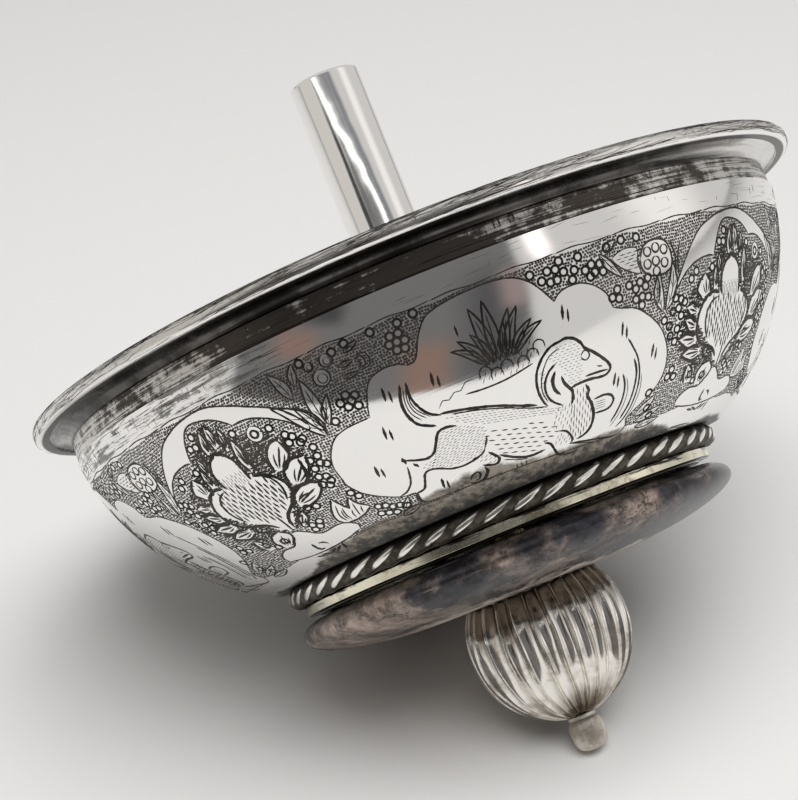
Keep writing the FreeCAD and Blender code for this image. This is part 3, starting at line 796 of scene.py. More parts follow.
ring_marks = [
    (-38.6, 5.5), (-40.1, 6.6), (-39, 6.7), (-31.9, 7.2), (-28.8, 8.3), (-26.2, 8.4), (-46.2, 9.2),
    (-47.4, 9.9), (-42.3, 9.2), (-24.6, 9.8), (-23.8, 10.3), (-24.8, 10.8), (-23.2, 11.3), (-22.6, 11.0),
    (-22, 12.4), (-23.8, 13.7), (-22.3, 13.5), (-24, 14.8), (-22.6, 14.4), (-21.8, 14.8), (-24.4, 15.9),
    (-23.3, 16.2), (-24.8, 17), (-23.8, 17.4), (-23.1, 16.9), (-30.4, 18.9), (-28.8, 19.2), (-32.8, 21.4),
    (-31, 21.3), (-33.2, 22.2), (-31.8, 22), (-33.8, 20.9), (-22.0, 19.5), (-21.2, 20.3), (-51, 11.5),
    (-49.8, 11.8), (-49, 12.2), (-50.4, 12.7), (-49.8, 13.6), (-50.6, 15), (-49.8, 15.8), (-51, 16.4),
    (-50.6, 19.8), (-51.4, 20.6), (-49.8, 20.8), (-40.8, 21.8), (-45, 21.2), (-43.4, 22.2), (-16.8, 10.8),
    (-14, 9.9), (-13.2, 9.4), (-14.8, 9.2), (-13.6, 8.6), (-12.6, 10.2), (-12.4, 9), (-3, 3.8), (-4.6, 4.8),
    (-3.4, 4.8), (-5.1, 5.6), (-4, 5.6), (-2.9, 5.7), (-4.4, 6.4), (-3.3, 6.5), (-6.8, 3.6), (-10.6, 3.6),
    (-17.4, 3.6), (-12.6, 3.9), (-0.6, 3.5), (15.8, 4.2), (18.3, 4.4), (19.5, 4.5), (17.2, 5.2),
    (18.4, 5.6), (19.4, 5.6), (20.6, 5.0), (20.3, 3.8), (23.2, 4.0), (23.8, 5.6), (24.9, 5.2), (25.2, 6.1),
    (26.2, 5.4), (22.2, 5.2), (24.4, 6.4), (26.5, 6.3), (21.6, 6.1), (30.4, 3.7), (27.8, 4.0), (33, 3.9),
    (27.2, 9.3), (28.3, 9.6), (28.2, 8.6), (30.3, 8.6), (31.4, 9.2), (32.3, 8.6), (33.2, 9.2), (31.2, 10.3),
    (32.4, 10.2), (33.5, 10.4), (32.2, 11.1), (33.8, 8.4), (-19.9, 22.9), (-18.7, 23.2), (-17.7, 23.8),
    (-16.5, 24.0), (-15.4, 24.5), (-20.5, 24.1), (-19.2, 24.5), (-17.9, 24.9), (36.5, 13.6), (37.6, 14.4),
    (37.9, 15.6), (38.4, 12.9), (34.6, 21.9), (36.2, 25.2), (35, 24),
]

# Close dark cuts on the ground between the palmette's leaves
shaded_ground = flowing([
    (-49.5, 13.5), (-46.5, 10.6), (-43, 9), (-40.6, 7.4), (-38, 5.6), (-35.4, 5), (-32.6, 7), (-29, 8.6),
    (-26, 9.2), (-23.6, 12), (-23.8, 15), (-25.5, 17.6), (-29.5, 19.2), (-34, 20.8), (-40, 20.6), (-45, 20),
    (-49, 18.6), (-50.6, 16.4),
], closed=True)
shade_pitch = 0.47
ring_clearance = 0.62
shade_spots = np.array([
    (turn + hand.uniform(-0.2, 0.2), down + hand.uniform(-0.12, 0.12))
    for down in np.arange(5.0, 21.0, shade_pitch)
    for turn in np.arange(-51.0, -23.0, shade_pitch / degree_length(down))
])
shade_turns, shade_downs = shade_spots.T
open_ground = within(shade_turns, shade_downs, shaded_ground)
for outline in plain_fields:
    open_ground &= ~within(shade_turns, shade_downs, outline)
for turn, down in ring_marks:
    open_ground &= np.hypot((shade_turns - turn) * degree_length(down), shade_downs - down) > ring_clearance
for turn, down in shade_spots[open_ground]:
    dash(turn, down, length=hand.uniform(0.5, 0.9), slant=hand.uniform(40, 120), width=0.54)

# The line under the plain band at the mouth
for turn in range(-52, 38, 9):
    cut((turn, 2.95), (turn + 3, 2.8), (turn + 6, 3.0), (turn + 9, 2.9), width=0.2)


def on_wall(turns, downs):
    # Places on the wall and the directions out of it
    turns = np.radians(turns)
    downs = np.asarray(downs) * mm
    r, z = wall_at(downs)
    lean = lip_angle - downs / wall_curve
    places = np.stack([r * np.sin(turns), -r * np.cos(turns), z], -1)
    return places, np.stack([np.cos(lean) * np.sin(turns), -np.cos(lean) * np.cos(turns), np.sin(lean)], -1)


def cut_mesh(name, runs, surface):
    # Graver cuts as thin closed slivers on a surface, tapered at both ends and a little uneven
    places = []
    faces = []
    for run, width in runs:
        run = np.array(run)
        spots, outs = surface(run[:, 0], run[:, 1])
        sides = np.cross(outs, np.gradient(spots, axis=0))
        sides /= np.linalg.norm(sides, axis=1)[:, None] + 1e-12
        steps = np.concatenate([[0], np.cumsum(np.linalg.norm(np.diff(spots, axis=0), axis=1))])
        taper = np.minimum(1, cut_end_share + np.minimum(steps, steps[-1] - steps) / cut_taper)
        halves = width * mm / 2 * taper * np.array([hand.uniform(0.85, 1.15) for _ in steps])
        first = len(places)
        for spot, out, side, half in zip(spots, outs, sides, halves):
            places += [spot + side * half - out * cut_sink, spot - side * half - out * cut_sink,
                       spot + out * cut_rise]
        for k in range(first, len(places) - 3, 3):
            faces += [(k, k + 3, k + 5, k + 2), (k + 2, k + 5, k + 4, k + 1), (k + 1, k + 4, k + 3, k)]
        last = len(places) - 3
        faces += [(first, first + 2, first + 1), (last, last + 1, last + 2)]
    mesh = bpy.data.meshes.new(name)
    mesh.from_pydata(places, [], faces)
    return mesh


quarter = set_down("quarter_cuts", cut_mesh("quarter_cuts", cuts, on_wall))


def grown(name, source, tree, **sizes):
    # Runs a geometry tree on an object and keeps the result as a plain mesh
    step = source.modifiers.new(name, "NODES")
    step.node_group = tree
    for socket in tree.interface.items_tree:
        wanted = socket.name.lower().replace(" ", "_")
        if socket.in_out == "INPUT" and wanted in sizes:
            step[socket.identifier] = sizes[wanted]
    bpy.context.view_layer.update()
    mesh = bpy.data.meshes.new_from_object(source.evaluated_get(bpy.context.evaluated_depsgraph_get()))
    mesh.name = name
    source.modifiers.remove(step)
    bpy.data.objects.remove(source)
    return set_down(name, mesh)


def copies_round(tree, start, shape):
    # Nodes that set copies of a shape round the axis, as many as the tree's Count
    spots = add(tree, "GeometryNodePoints", {"Count": start.outputs["Count"]})
    order = add(tree, "GeometryNodeInputIndex")
    share = reckon(tree, "DIVIDE", order.outputs[0], start.outputs["Count"])
    angle = reckon(tree, "MULTIPLY", share, full_turn)
    spin = add(tree, "ShaderNodeCombineXYZ", {"Z": angle})
    return add(tree, "GeometryNodeInstanceOnPoints", {
        "Points": spots.outputs[0], "Instance": shape, "Rotation": spin.outputs[0],
    }).outputs[0]


def finished(tree, start, end, shape):
    # The last nodes of a geometry tree: real geometry, with the finish it was given
    real = add(tree, "GeometryNodeRealizeInstances", {"Geometry": shape})
    coated = add(tree, "GeometryNodeSetMaterial",
                 {"Geometry": real.outputs[0], "Material": start.outputs["Finish"]})
    tree.links.new(coated.outputs[0], end.inputs["Geometry"])


round_axis, round_in, round_out = group(
    "copies round the axis", "GeometryNodeTree",
    {"Geometry": "Geometry", "Count": "Int", "Finish": "Material"}, {"Geometry": "Geometry"},
)
finished(round_axis, round_in, round_out, copies_round(round_axis, round_in, round_in.outputs["Geometry"]))
graver_cuts = grown("graver_cuts", quarter, round_axis, count=panels, finish=engraved_metal)

mark_flatness = 0.25
punched, punched_in, punched_out = group(
    "punch marks", "GeometryNodeTree",
    {"Geometry": "Geometry", "Count": "Int", "Radius": "Float", "Rise": "Float", "Ring": "Bool",
     "Finish": "Material"},
    {"Geometry": "Geometry"},
)
facing = add(punched, "GeometryNodeInputNamedAttribute", {"Name": "facing"}, data_type="FLOAT_VECTOR")
facing_turn = add(punched, "FunctionNodeAlignRotationToVector", {"Vector": facing.outputs[0]}, axis="Z")
dot_shape = add(punched, "GeometryNodeMeshCone", {
    "Vertices": 5, "Radius Top": 0.0, "Radius Bottom": punched_in.outputs["Radius"],
    "Depth": punched_in.outputs["Rise"],
})
ring_path = add(punched, "GeometryNodeCurvePrimitiveCircle",
                {"Resolution": 12, "Radius": punched_in.outputs["Radius"]})
ring_section = add(punched, "GeometryNodeCurvePrimitiveCircle",
                   {"Resolution": 4, "Radius": punched_in.outputs["Rise"]})
ring_shape = add(punched, "GeometryNodeCurveToMesh", {
    "Curve": ring_path.outputs[0], "Profile Curve": ring_section.outputs[0],
})
mark_shape = add(punched, "GeometryNodeSwitch", {
    "Switch": punched_in.outputs["Ring"], "False": dot_shape.outputs["Mesh"],
    "True": ring_shape.outputs["Mesh"],
}, input_type="GEOMETRY")
punch_copies = add(punched, "GeometryNodeInstanceOnPoints", {
    "Points": punched_in.outputs["Geometry"], "Instance": mark_shape.outputs[0],
    "Rotation": facing_turn.outputs[0], "Scale": (1.0, 1.0, mark_flatness),
})
finished(punched, punched_in, punched_out, copies_round(punched, punched_in, punch_copies.outputs[0]))


def point_cloud(name, turns, downs):
    # Bare points on the wall, each with the direction out of the wall
    places, outs = on_wall(turns, downs)
    mesh = bpy.data.meshes.new(name)
    mesh.from_pydata(places.tolist(), [], [])
    facings = mesh.attributes.new("facing", "FLOAT_VECTOR", "POINT")
    facings.data.foreach_set("vector", outs.astype(np.float32).ravel())
    return set_down(name, mesh)


dot_pitch = 0.315
dot_drift = 0.12
matting_top = 3.25
matting_base = 25.9
panel_left = -52.6
matting_turns = []
matting_downs = []
for row, down in enumerate(np.arange(matting_top, matting_base, dot_pitch)):
    count = round(360 / panels * degree_length(down) / dot_pitch)
    turns = panel_left + (np.arange(count) + 0.5 * (row % 2)) * 360 / panels / count
    matting_turns.append(turns + np.array([hand.uniform(-0.07, 0.07) for _ in turns]))
    drift = dot_drift * np.sin(turns * 0.6)
    matting_downs.append(down + drift + np.array([hand.uniform(-0.05, 0.05) for _ in turns]))
matting_turns = np.concatenate(matting_turns)
matting_downs = np.concatenate(matting_downs)
matted = np.ones(len(matting_turns), bool)
for outline in plain_fields:
    for turn in (-90, 0, 90):
        matted &= ~within(matting_turns + turn, matting_downs, outline)
for turn, down in ring_marks:
    matted &= np.hypot((matting_turns - turn) * degree_length(down), matting_downs - down) > ring_clearance
matting = grown(
    "matting", point_cloud("matting_points", matting_turns[matted], matting_downs[matted]), punched,
    count=panels, radius=0.165 * mm, rise=0.09 * mm, ring=False, finish=matted_metal,
)
ring_array = np.array(ring_marks)
ring_punches = grown(
    "ring_punches", point_cloud("ring_points", ring_array[:, 0], ring_array[:, 1]), punched,
    count=panels, radius=0.44 * mm, rise=0.14 * mm, ring=True, finish=engraved_metal,
)


def straight(turn, down, across, drop, shares=(0, 0.5, 1)):
    # Points along a straight line, at shares of its length
    return [(turn + across * t, down + drop * t) for t in shares]


def black_cuts(name, runs, surface):
    # Black cuts as a piece of their own
    made = set_down(name, cut_mesh(name, runs, surface))
    made.data.materials.append(engraved_metal)
    return made


# Scuffs on the plain band, thickest on one side
scuffs = []
for first, last, count, broad in ((-78, -22, 130, 0.12), (-22, 282, 110, 0.055)):
    for _ in range(count):
        turn = hand.uniform(first, last)
        down = hand.uniform(0.3, 2.6)
        reach = hand.uniform(0.8, 4.0) / degree_length(down)
        drift = hand.uniform(-0.25, 0.25)
        scuffs.append((straight(turn, down, reach, drift, (0, 0.35, 0.7, 1)), hand.uniform(0.03, broad)))
    for _ in range(count // 3):
        turn = hand.uniform(first, last)
        down = hand.uniform(0.2, 1.9)
        length = hand.uniform(0.3, 0.9)
        lean = hand.uniform(-0.3, 0.3)
        scuffs.append((straight(turn, down, lean, length), hand.uniform(0.04, broad)))
band_scuffs = black_cuts("band_scuffs", scuffs, on_wall)
for piece in (graver_cuts, matting, ring_punches, band_scuffs):
    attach(piece, "bowl")

# Neck collar: a plain silver band standing on the bowl's lip, soldered, with a sleeve inside the mouth.
# It is dull, grey and scarred, because no cloth reaches into the angle under the rim.
collar_low, collar_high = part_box("neck_collar")
collar_radius = collar_high.x
solder_gap = 0.02 * mm
collar_base = lip_z + solder_gap
sleeve_radius = inner_wall_radius(collar_low.z) - solder_gap
sleeve_inner = sleeve_radius - 0.8 * mm
collar_metal, collar_tree, collar_shader = metal("tarnished collar", (0.3, 0.29, 0.28), roughness=0.3)
collar_places = add(collar_tree, "ShaderNodeTexCoord").outputs
collar_marks = streaks(collar_tree, collar_places["UV"], along=55.0, across=2600.0)
collar_flakes = noise(collar_tree, collar_places["Object"], scale=420.0, detail=8.0, roughness=0.74)
collar_patches = noise(collar_tree, collar_places["Object"], scale=60.0, detail=3.0)
collar_wear = reckon(collar_tree, "MULTIPLY_ADD", collar_flakes, 1.1, collar_patches)
collar_wear = reckon(collar_tree, "MULTIPLY_ADD", collar_marks, 0.7, collar_wear)
collar_spot = add(collar_tree, "ShaderNodeSeparateXYZ", {0: collar_places["Object"]})
collar_reach = reckon(collar_tree, "ABSOLUTE", collar_spot.outputs["X"])
collar_ends = ramp(collar_tree, collar_reach, 14.0 * mm, 34.0 * mm, start=-0.11, end=0.05)
collar_worn = reckon(collar_tree, "ADD", collar_wear, collar_ends)
collar_bare = ramp(collar_tree, collar_worn, 1.38, 1.53)
collar_tint = tinted(collar_tree, collar_bare, (0.072, 0.063, 0.055), (0.66, 0.64, 0.61))
collar_tree.links.new(collar_tint, collar_shader.inputs["Base Color"])
collar_rough = ramp(collar_tree, collar_flakes, 0.0, 1.0, start=0.2, end=0.44)
collar_tree.links.new(collar_rough, collar_shader.inputs["Roughness"])
collar_bump = bumped(collar_tree, collar_wear, 0.025 * mm)
collar_tree.links.new(collar_bump, collar_shader.inputs["Normal"])
collar = turned("neck_collar_band", rounded([
    (sleeve_radius, collar_low.z),
    (sleeve_radius, collar_base),
    (collar_radius, collar_base),
    (collar_radius, collar_high.z),
    (sleeve_inner, collar_high.z),
    (sleeve_inner, collar_low.z),
], radius=0.25 * mm), collar_metal, steps=320)
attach(collar, "bowl")
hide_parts("neck_collar")


def on_collar(turns, rises):
    # Places on the band, by turn in degrees and millimetres above its lower edge
    turns = np.radians(turns)
    outs = np.stack([np.sin(turns), -np.cos(turns), np.zeros(len(turns))], -1)
    places = outs * collar_radius
    places[:, 2] = collar_base + np.asarray(rises) * mm
    return places, outs


collar_rise = (collar_high.z - collar_base) / mm
scars = []
for _ in range(150):
    turn = hand.uniform(0, 360)
    top = collar_rise - hand.uniform(0.1, 0.35)
    lean = hand.uniform(-0.3, 0.3)
    length = hand.uniform(0.3, 1.1)
    scars.append((straight(turn, top, lean, -length), hand.uniform(0.15, 0.35)))
for _ in range(220):
    turn = hand.uniform(0, 360)
    height = hand.uniform(0.2, collar_rise - 0.3)
    length = hand.uniform(3, 16)
    drift = hand.uniform(-0.12, 0.12)
    scars.append((straight(turn, height, length, drift, np.linspace(0, 1, 8)), hand.uniform(0.05, 0.13)))
collar_scars = black_cuts("collar_scars", scars, on_collar)
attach(collar_scars, "bowl")

# Rim flange: a ring of silver, coved underneath and flat on top, soldered to the collar.
# Its cove is almost black with tarnish, and the ring is paler towards one side, with streaks of wear and a
# painted reflection.
flange_low, flange_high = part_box("rim_flange")
flange_foot = collar_radius - 0.2 * mm
flange_edge = flange_high.z - 1.3 * mm
flange_ease = 0.3 * mm
flange_metal, flange_tree, flange_shader = worn_metal(
    "tarnished flange", (0.12, 0.112, 0.105), stain=(0.03, 0.028, 0.026), scale=90.0, cover=0.52,
    smooth=0.18, dull=0.32, along=90.0, across=3000.0, dent=0.04 * mm, streak_depth=0.006 * mm,
)
flange_places = add(flange_tree, "ShaderNodeTexCoord").outputs
flange_spot = add(flange_tree, "ShaderNodeSeparateXYZ", {0: flange_places["Object"]})
flange_marks = streaks(flange_tree, flange_places["UV"], along=60.0, across=1500.0)
# Painted reflection: the ring gets paler towards +X, broken by streaks of wear
flange_side_streaks = reckon(flange_tree, "MULTIPLY_ADD", flange_spot.outputs["X"], 30.0, flange_marks)
flange_worn_and_reflecting = ramp(flange_tree, flange_side_streaks, 1.35, 1.75)
flange_tint = tinted(flange_tree, flange_worn_and_reflecting, so_far(flange_shader, "Base Color"), (0.66, 0.645, 0.62))
flange_tree.links.new(flange_tint, flange_shader.inputs["Base Color"])
flange = turned("rim_flange_ring", [
    (sleeve_inner, flange_low.z),
    (flange_foot, flange_low.z),
    *oval(flange_high.x, flange_low.z, flange_foot - flange_high.x, flange_edge - flange_low.z,
          start=0, end=90, count=12),
    (flange_high.x, flange_high.z),
    (sleeve_inner + flange_ease, flange_high.z),
    (sleeve_inner, flange_high.z - flange_ease),
], flange_metal, steps=320)
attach(flange, "bowl")
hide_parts("rim_flange")

# Rim edge wire: a heavy half-round silver wire soldered round the flange.
# It was chased with long slanting cuts, which hold the dirt, and its lower edge is polished, with a painted
# highlight along it.
wire_low, wire_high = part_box("rim_edge_wire")
wire_reach = 1.7 * mm
wire_rise = (wire_high.z - wire_low.z) / 2
wire_centre_r = wire_high.x - wire_reach
wire_centre_z = (wire_high.z + wire_low.z) / 2
edge_square = 0.62
edge_metal, edge_tree, edge_shader = worn_metal(
    "chased rim edge", (0.74, 0.725, 0.70), stain=(0.24, 0.22, 0.20), scale=320.0, cover=0.34, smooth=0.15,
    dull=0.28, along=60.0, across=2600.0, dent=0.03 * mm, streak_depth=0.03 * mm,
)
# Black underneath, then a strip that is rubbed bright and carries a painted highlight, then the chased
# metal
edge_places = add(edge_tree, "ShaderNodeTexCoord").outputs
edge_run = add(edge_tree, "ShaderNodeSeparateXYZ", {0: edge_places["UV"]}).outputs["Y"]
edge_under = ramp(edge_tree, edge_run, 0.9 * mm, 1.1 * mm, start=1.0, end=0.0)
edge_polish_and_highlight = ramp(edge_tree, edge_run, 1.5 * mm, 1.8 * mm, start=1.0, end=0.0)
edge_tint = tinted(edge_tree, edge_polish_and_highlight, so_far(edge_shader, "Base Color"), (0.93, 0.92, 0.90))
edge_tint = tinted(edge_tree, edge_under, edge_tint, (0.045, 0.042, 0.039))
edge_tree.links.new(edge_tint, edge_shader.inputs["Base Color"])
edge_gloss = mixed(edge_tree, edge_polish_and_highlight, so_far(edge_shader, "Roughness"), 0.14)
edge_tree.links.new(mixed(edge_tree, edge_under, edge_gloss, 0.34), edge_shader.inputs["Roughness"])
edge_outline = oval(
    wire_centre_r, wire_centre_z, wire_reach, wire_rise, start=-90, end=90, count=30, square=edge_square,
)
edge = turned("rim_edge", edge_outline, edge_metal, steps=360)
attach(edge, "bowl")
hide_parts("rim_edge_wire")


def on_edge(turns, rises):
    # Places on the wire, by turn in degrees and angle round its section
    turns = np.radians(turns)
    angles = np.radians(rises)
    across = np.cos(angles) ** edge_square
    upward = np.sign(np.sin(angles)) * np.abs(np.sin(angles)) ** edge_square
    lean = 2 / edge_square - 1
    out = across ** lean / wire_reach
    up = np.sign(upward) * np.abs(upward) ** lean / wire_rise
    length = np.hypot(out, up)
    out, up = out / length, up / length
    r = wire_centre_r + wire_reach * across
    places = np.stack([r * np.sin(turns), -r * np.cos(turns), wire_centre_z + wire_rise * upward], -1)
    return places, np.stack([out * np.sin(turns), -out * np.cos(turns), up], -1)


lowest_cut = -60
highest_cut = 78
chase_cuts = []
for _ in range(1500):
    turn = hand.uniform(0, 360)
    start = hand.uniform(-36, 74)
    length = hand.uniform(2, 9)
    drift = hand.uniform(-6, 20)
    wave = hand.uniform(1, 5)
    phase = hand.uniform(0, full_turn)
    shares = np.linspace(0, 1, 10)
    rises = np.clip(start + drift * shares + wave * np.sin(phase + 6 * shares), lowest_cut, highest_cut)
    chase_cuts.append((list(zip(turn + length * shares, rises)), hand.uniform(0.03, 0.10)))
edge_cuts = black_cuts("rim_edge_cuts", chase_cuts, on_edge)
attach(edge_cuts, "bowl")

# Twisted moulding: four silver wires twisted together, bent into a ring and soldered under the bowl.
# The tops of the twist are rubbed bright, and the hollows between are brown with dirt.
rope_low, rope_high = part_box("rope_moulding")
rope_radius = (rope_high.z - rope_low.z) / 2
rope_ring = rope_high.x - rope_radius
rope_z = (rope_high.z + rope_low.z) / 2
strand_count = 4
rope_turns = 12
strand_radius = 0.6 * mm
strand_offset = rope_radius - strand_radius

wire_round, wire_in, wire_out = group(
    "round wire on a path", "GeometryNodeTree",
    {"Geometry": "Geometry", "Wire radius": "Float", "Sides": "Int", "Finish": "Material"},
    {"Geometry": "Geometry"},
)
section = add(wire_round, "GeometryNodeCurvePrimitiveCircle", {
    "Resolution": wire_in.outputs["Sides"], "Radius": wire_in.outputs["Wire radius"],
})
drawn_wire = add(wire_round, "GeometryNodeCurveToMesh", {
    "Curve": wire_in.outputs["Geometry"], "Profile Curve": section.outputs["Curve"],
})
soft_wire = add(wire_round, "GeometryNodeSetShadeSmooth", {"Geometry": drawn_wire.outputs["Mesh"]})
finished(wire_round, wire_in, wire_out, soft_wire.outputs["Geometry"])
rope_metal, rope_tree, rope_shader = metal("twisted wire", (0.62, 0.60, 0.56), roughness=0.2)
rope_crest = add(rope_tree, "ShaderNodeAttribute", attribute_name="crest")
rope_places = add(rope_tree, "ShaderNodeTexCoord").outputs
rope_specks = noise(rope_tree, rope_places["Object"], scale=420.0, detail=4.0)
rope_wear = reckon(rope_tree, "MULTIPLY_ADD", rope_specks, 0.22, rope_crest.outputs["Fac"])
rope_rub = ramp(rope_tree, rope_wear, 0.995, 1.05, smooth=True)
rope_tint = tinted(rope_tree, rope_rub, (0.058, 0.049, 0.038), (0.84, 0.82, 0.77))
rope_tree.links.new(rope_tint, rope_shader.inputs["Base Color"])
rope_gloss = ramp(rope_tree, rope_rub, 0.0, 1.0, start=0.42, end=0.16)
rope_tree.links.new(rope_gloss, rope_shader.inputs["Roughness"])
rope_bump = bumped(rope_tree, rope_specks, 0.05 * mm)
rope_tree.links.new(rope_bump, rope_shader.inputs["Normal"])
rope_points = 800
strands = bpy.data.curves.new("rope_strands", "CURVE")
strands.dimensions = "3D"
for strand in range(strand_count):
    spline = strands.splines.new("POLY")
    spline.points.add(rope_points - 1)
    spline.use_cyclic_u = True
    for k, knot in enumerate(spline.points):
        turn = full_turn * k / rope_points
        twist = rope_turns * turn + strand * full_turn / strand_count
        r = rope_ring + strand_offset * math.cos(twist)
        knot.co = (r * math.sin(turn), -r * math.cos(turn), rope_z + strand_offset * math.sin(twist), 1)
rope_path = set_down("rope_path", strands)
rope = grown("rope_twist", rope_path, wire_round, wire_radius=strand_radius, sides=14, finish=rope_metal)


def spots_of(piece):
    # Where a piece's points lie
    spots = np.empty(len(piece.data.vertices) * 3, np.float32)
    piece.data.vertices.foreach_get("co", spots)
    return spots.reshape(-1, 3)


def mark_crests(piece, rises):
    # Gives each point its height on the relief, for the finish to read
    piece.data.attributes.new("crest", "FLOAT", "POINT").data.foreach_set("value", rises.astype(np.float32))


rope_spots = spots_of(rope)
rope_out = np.hypot(rope_spots[:, 0], rope_spots[:, 1]) - rope_ring
rope_reach = np.hypot(rope_out, rope_spots[:, 2] - rope_z)
rope_rise = rope_reach / rope_radius - 0.36 * (1 - rope_out / rope_reach)
mark_crests(rope, rope_rise)
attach(rope, "bowl")
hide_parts("rope_moulding")

groove_metal, groove_tree, groove_shader = metal("dirt in the grooves", (0.05, 0.043, 0.034), roughness=0.5)
groove_places = add(groove_tree, "ShaderNodeTexCoord").outputs
groove_specks = noise(groove_tree, groove_places["Object"], scale=620.0, detail=7.0, roughness=0.7)
groove_light = ramp(groove_tree, groove_specks, 0.46, 0.74)
groove_tint = tinted(groove_tree, groove_light, (0.040, 0.034, 0.026), (0.20, 0.175, 0.135))
groove_tree.links.new(groove_tint, groove_shader.inputs["Base Color"])
groove_bump = bumped(groove_tree, groove_specks, 0.14 * mm)
groove_tree.links.new(groove_bump, groove_shader.inputs["Normal"])
groove_shader.inputs["Metallic"].default_value = 0.5
groove_radius = 1.18 * mm
groove_outline = oval(rope_ring, rope_z, groove_radius, groove_radius, start=-180, end=165, count=24)
groove_fill = turned("rope_grooves", groove_outline, groove_metal, steps=256)
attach(groove_fill, "bowl")

# Foot ring: a plain turned band of slightly yellow silver, soldered under the bowl inside the twist.
# Its lower edge steps back, which leaves a gap above the disc; the step is painted black as shade.
foot_low, foot_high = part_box("foot_ring")
foot_band_top = foot_low.z + 1.45 * mm
foot_neck = rope_ring - rope_radius - solder_gap
foot_inner = foot_neck - 1.6 * mm
foot_step = 0.3 * mm
foot_under = foot_high.x - 1.5 * mm
foot_metal, foot_tree, foot_shader = worn_metal(
    "plain foot band", (0.80, 0.76, 0.61), stain=(0.30, 0.255, 0.17), scale=330.0, cover=0.40, smooth=0.15,
    dull=0.3, along=200.0, across=2600.0, dent=0.03 * mm, streak_depth=0.012 * mm,
)
# Dark streaks along the upper edge under the moulding, and painted shade, black, in the step below
foot_places = add(foot_tree, "ShaderNodeTexCoord").outputs
foot_level = add(foot_tree, "ShaderNodeSeparateXYZ", {0: foot_places["Object"]}).outputs["Z"]
foot_marks = streaks(foot_tree, foot_places["UV"], along=230.0, across=1500.0)
foot_edge = reckon(foot_tree, "MULTIPLY_ADD", foot_marks, 3.0 * mm, foot_level)
foot_upper_dark = ramp(foot_tree, foot_edge, foot_low.z + 2.55 * mm, foot_low.z + 2.95 * mm)
# Painted shade: the recessed step under the band is coloured black
foot_shade_top = foot_low.z + foot_step
foot_shade = ramp(
    foot_tree, foot_level, foot_shade_top, foot_shade_top + 0.08 * mm, start=1.0, end=0.0,
)
foot_dark_and_step_shade = reckon(foot_tree, "MAXIMUM", foot_upper_dark, foot_shade)
foot_tint = tinted(foot_tree, foot_dark_and_step_shade, so_far(foot_shader, "Base Color"), (0.045, 0.038, 0.03))
foot_tree.links.new(foot_tint, foot_shader.inputs["Base Color"])
foot = turned("foot_band", rounded([
    (foot_inner, foot_low.z),
    (foot_under, foot_low.z),
    (foot_under, foot_low.z + foot_step),
    (foot_high.x, foot_low.z + foot_step),
    (foot_high.x, foot_band_top),
    (foot_neck, foot_band_top),
    (foot_neck, foot_high.z),
    (foot_inner, foot_high.z),
], radius=0.12 * mm), foot_metal, steps=256)
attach(foot, "bowl")
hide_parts("foot_ring")

# Stem: a polished drawn tube standing on the bowl's floor, open at the top.
# A collar soldered round its foot holds it square, and a plug inside takes the rod.
stem_low, stem_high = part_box("stem_tube")
plug_low, plug_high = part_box("stem_plug")
stem_bore = stem_high.x - 0.75 * mm
plug_seat = stem_bore + 0.25 * mm
stem_metal = worn_metal(
    "polished stem", (0.92, 0.905, 0.885), stain=(0.75, 0.72, 0.68), scale=70.0, cover=0.2, smooth=0.065,
    dull=0.14, along=3000.0, across=60.0, dent=0.03 * mm, streak_depth=0.0006 * mm, dent_scale=190.0,
)[0]
stem = turned("stem", rounded([
    (plug_seat, stem_low.z),
    (stem_high.x, stem_low.z),
    (stem_high.x, stem_high.z),
    (stem_bore, stem_high.z),
    (stem_bore, plug_high.z + solder_gap),
    (plug_seat, plug_high.z + solder_gap),
], radius=0.37 * mm), stem_metal, steps=160)
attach(stem, "bowl")
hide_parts("stem_tube")

stem_collar_low, stem_collar_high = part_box("stem_foot_collar")
collar_slope = 0.8 * mm
inner_metal = worn_metal(
    "turned inner fittings", (0.74, 0.70, 0.58), stain=(0.26, 0.22, 0.15), scale=260.0, cover=0.4,
    smooth=0.2, dull=0.36, along=260.0, across=2600.0, dent=0.02 * mm, streak_depth=0.004 * mm,
)[0]
stem_collar = turned("stem_foot", rounded([
    (stem_high.x + solder_gap, stem_collar_low.z),
    (stem_collar_high.x, stem_collar_low.z),
    (stem_collar_high.x, stem_collar_high.z - collar_slope),
    (stem_collar_high.x - collar_slope, stem_collar_high.z),
    (stem_high.x + solder_gap, stem_collar_high.z),
], radius=0.3 * mm), inner_metal, steps=128)
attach(stem_collar, "bowl")
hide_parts("stem_foot_collar")

plug = turned("rod_plug", rounded([
    (rod_radius + solder_gap, plug_low.z),
    (plug_high.x, plug_low.z),
    (plug_high.x, plug_high.z),
    (rod_radius + solder_gap, plug_high.z),
], radius=0.2 * mm), inner_metal, steps=96)
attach(plug, "bowl")
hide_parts("stem_plug")

# Tie rod: a brass rod held in the plug, running down through the bowl and the disc into the melon.
# Its lower end is cut with a thread of one millimetre pitch, which the finial screws along.
rod_low, rod_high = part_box("tie_rod")
thread_pitch = 1.0 * mm
thread_depth = 0.3 * mm
rod_ease = 0.2 * mm
thread_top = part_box("finial_disc")[1].z
thread_start = rod_low.z + 0.4 * mm
lead_in = 0.8 * mm
run_out = 1.5 * mm
rod_metal = worn_metal(
    "turned rod", (0.72, 0.60, 0.36), stain=(0.30, 0.22, 0.12), scale=240.0, cover=0.45, smooth=0.22,
    dull=0.4, along=120.0, across=3000.0, dent=0.01 * mm, streak_depth=0.002 * mm,
)[0]


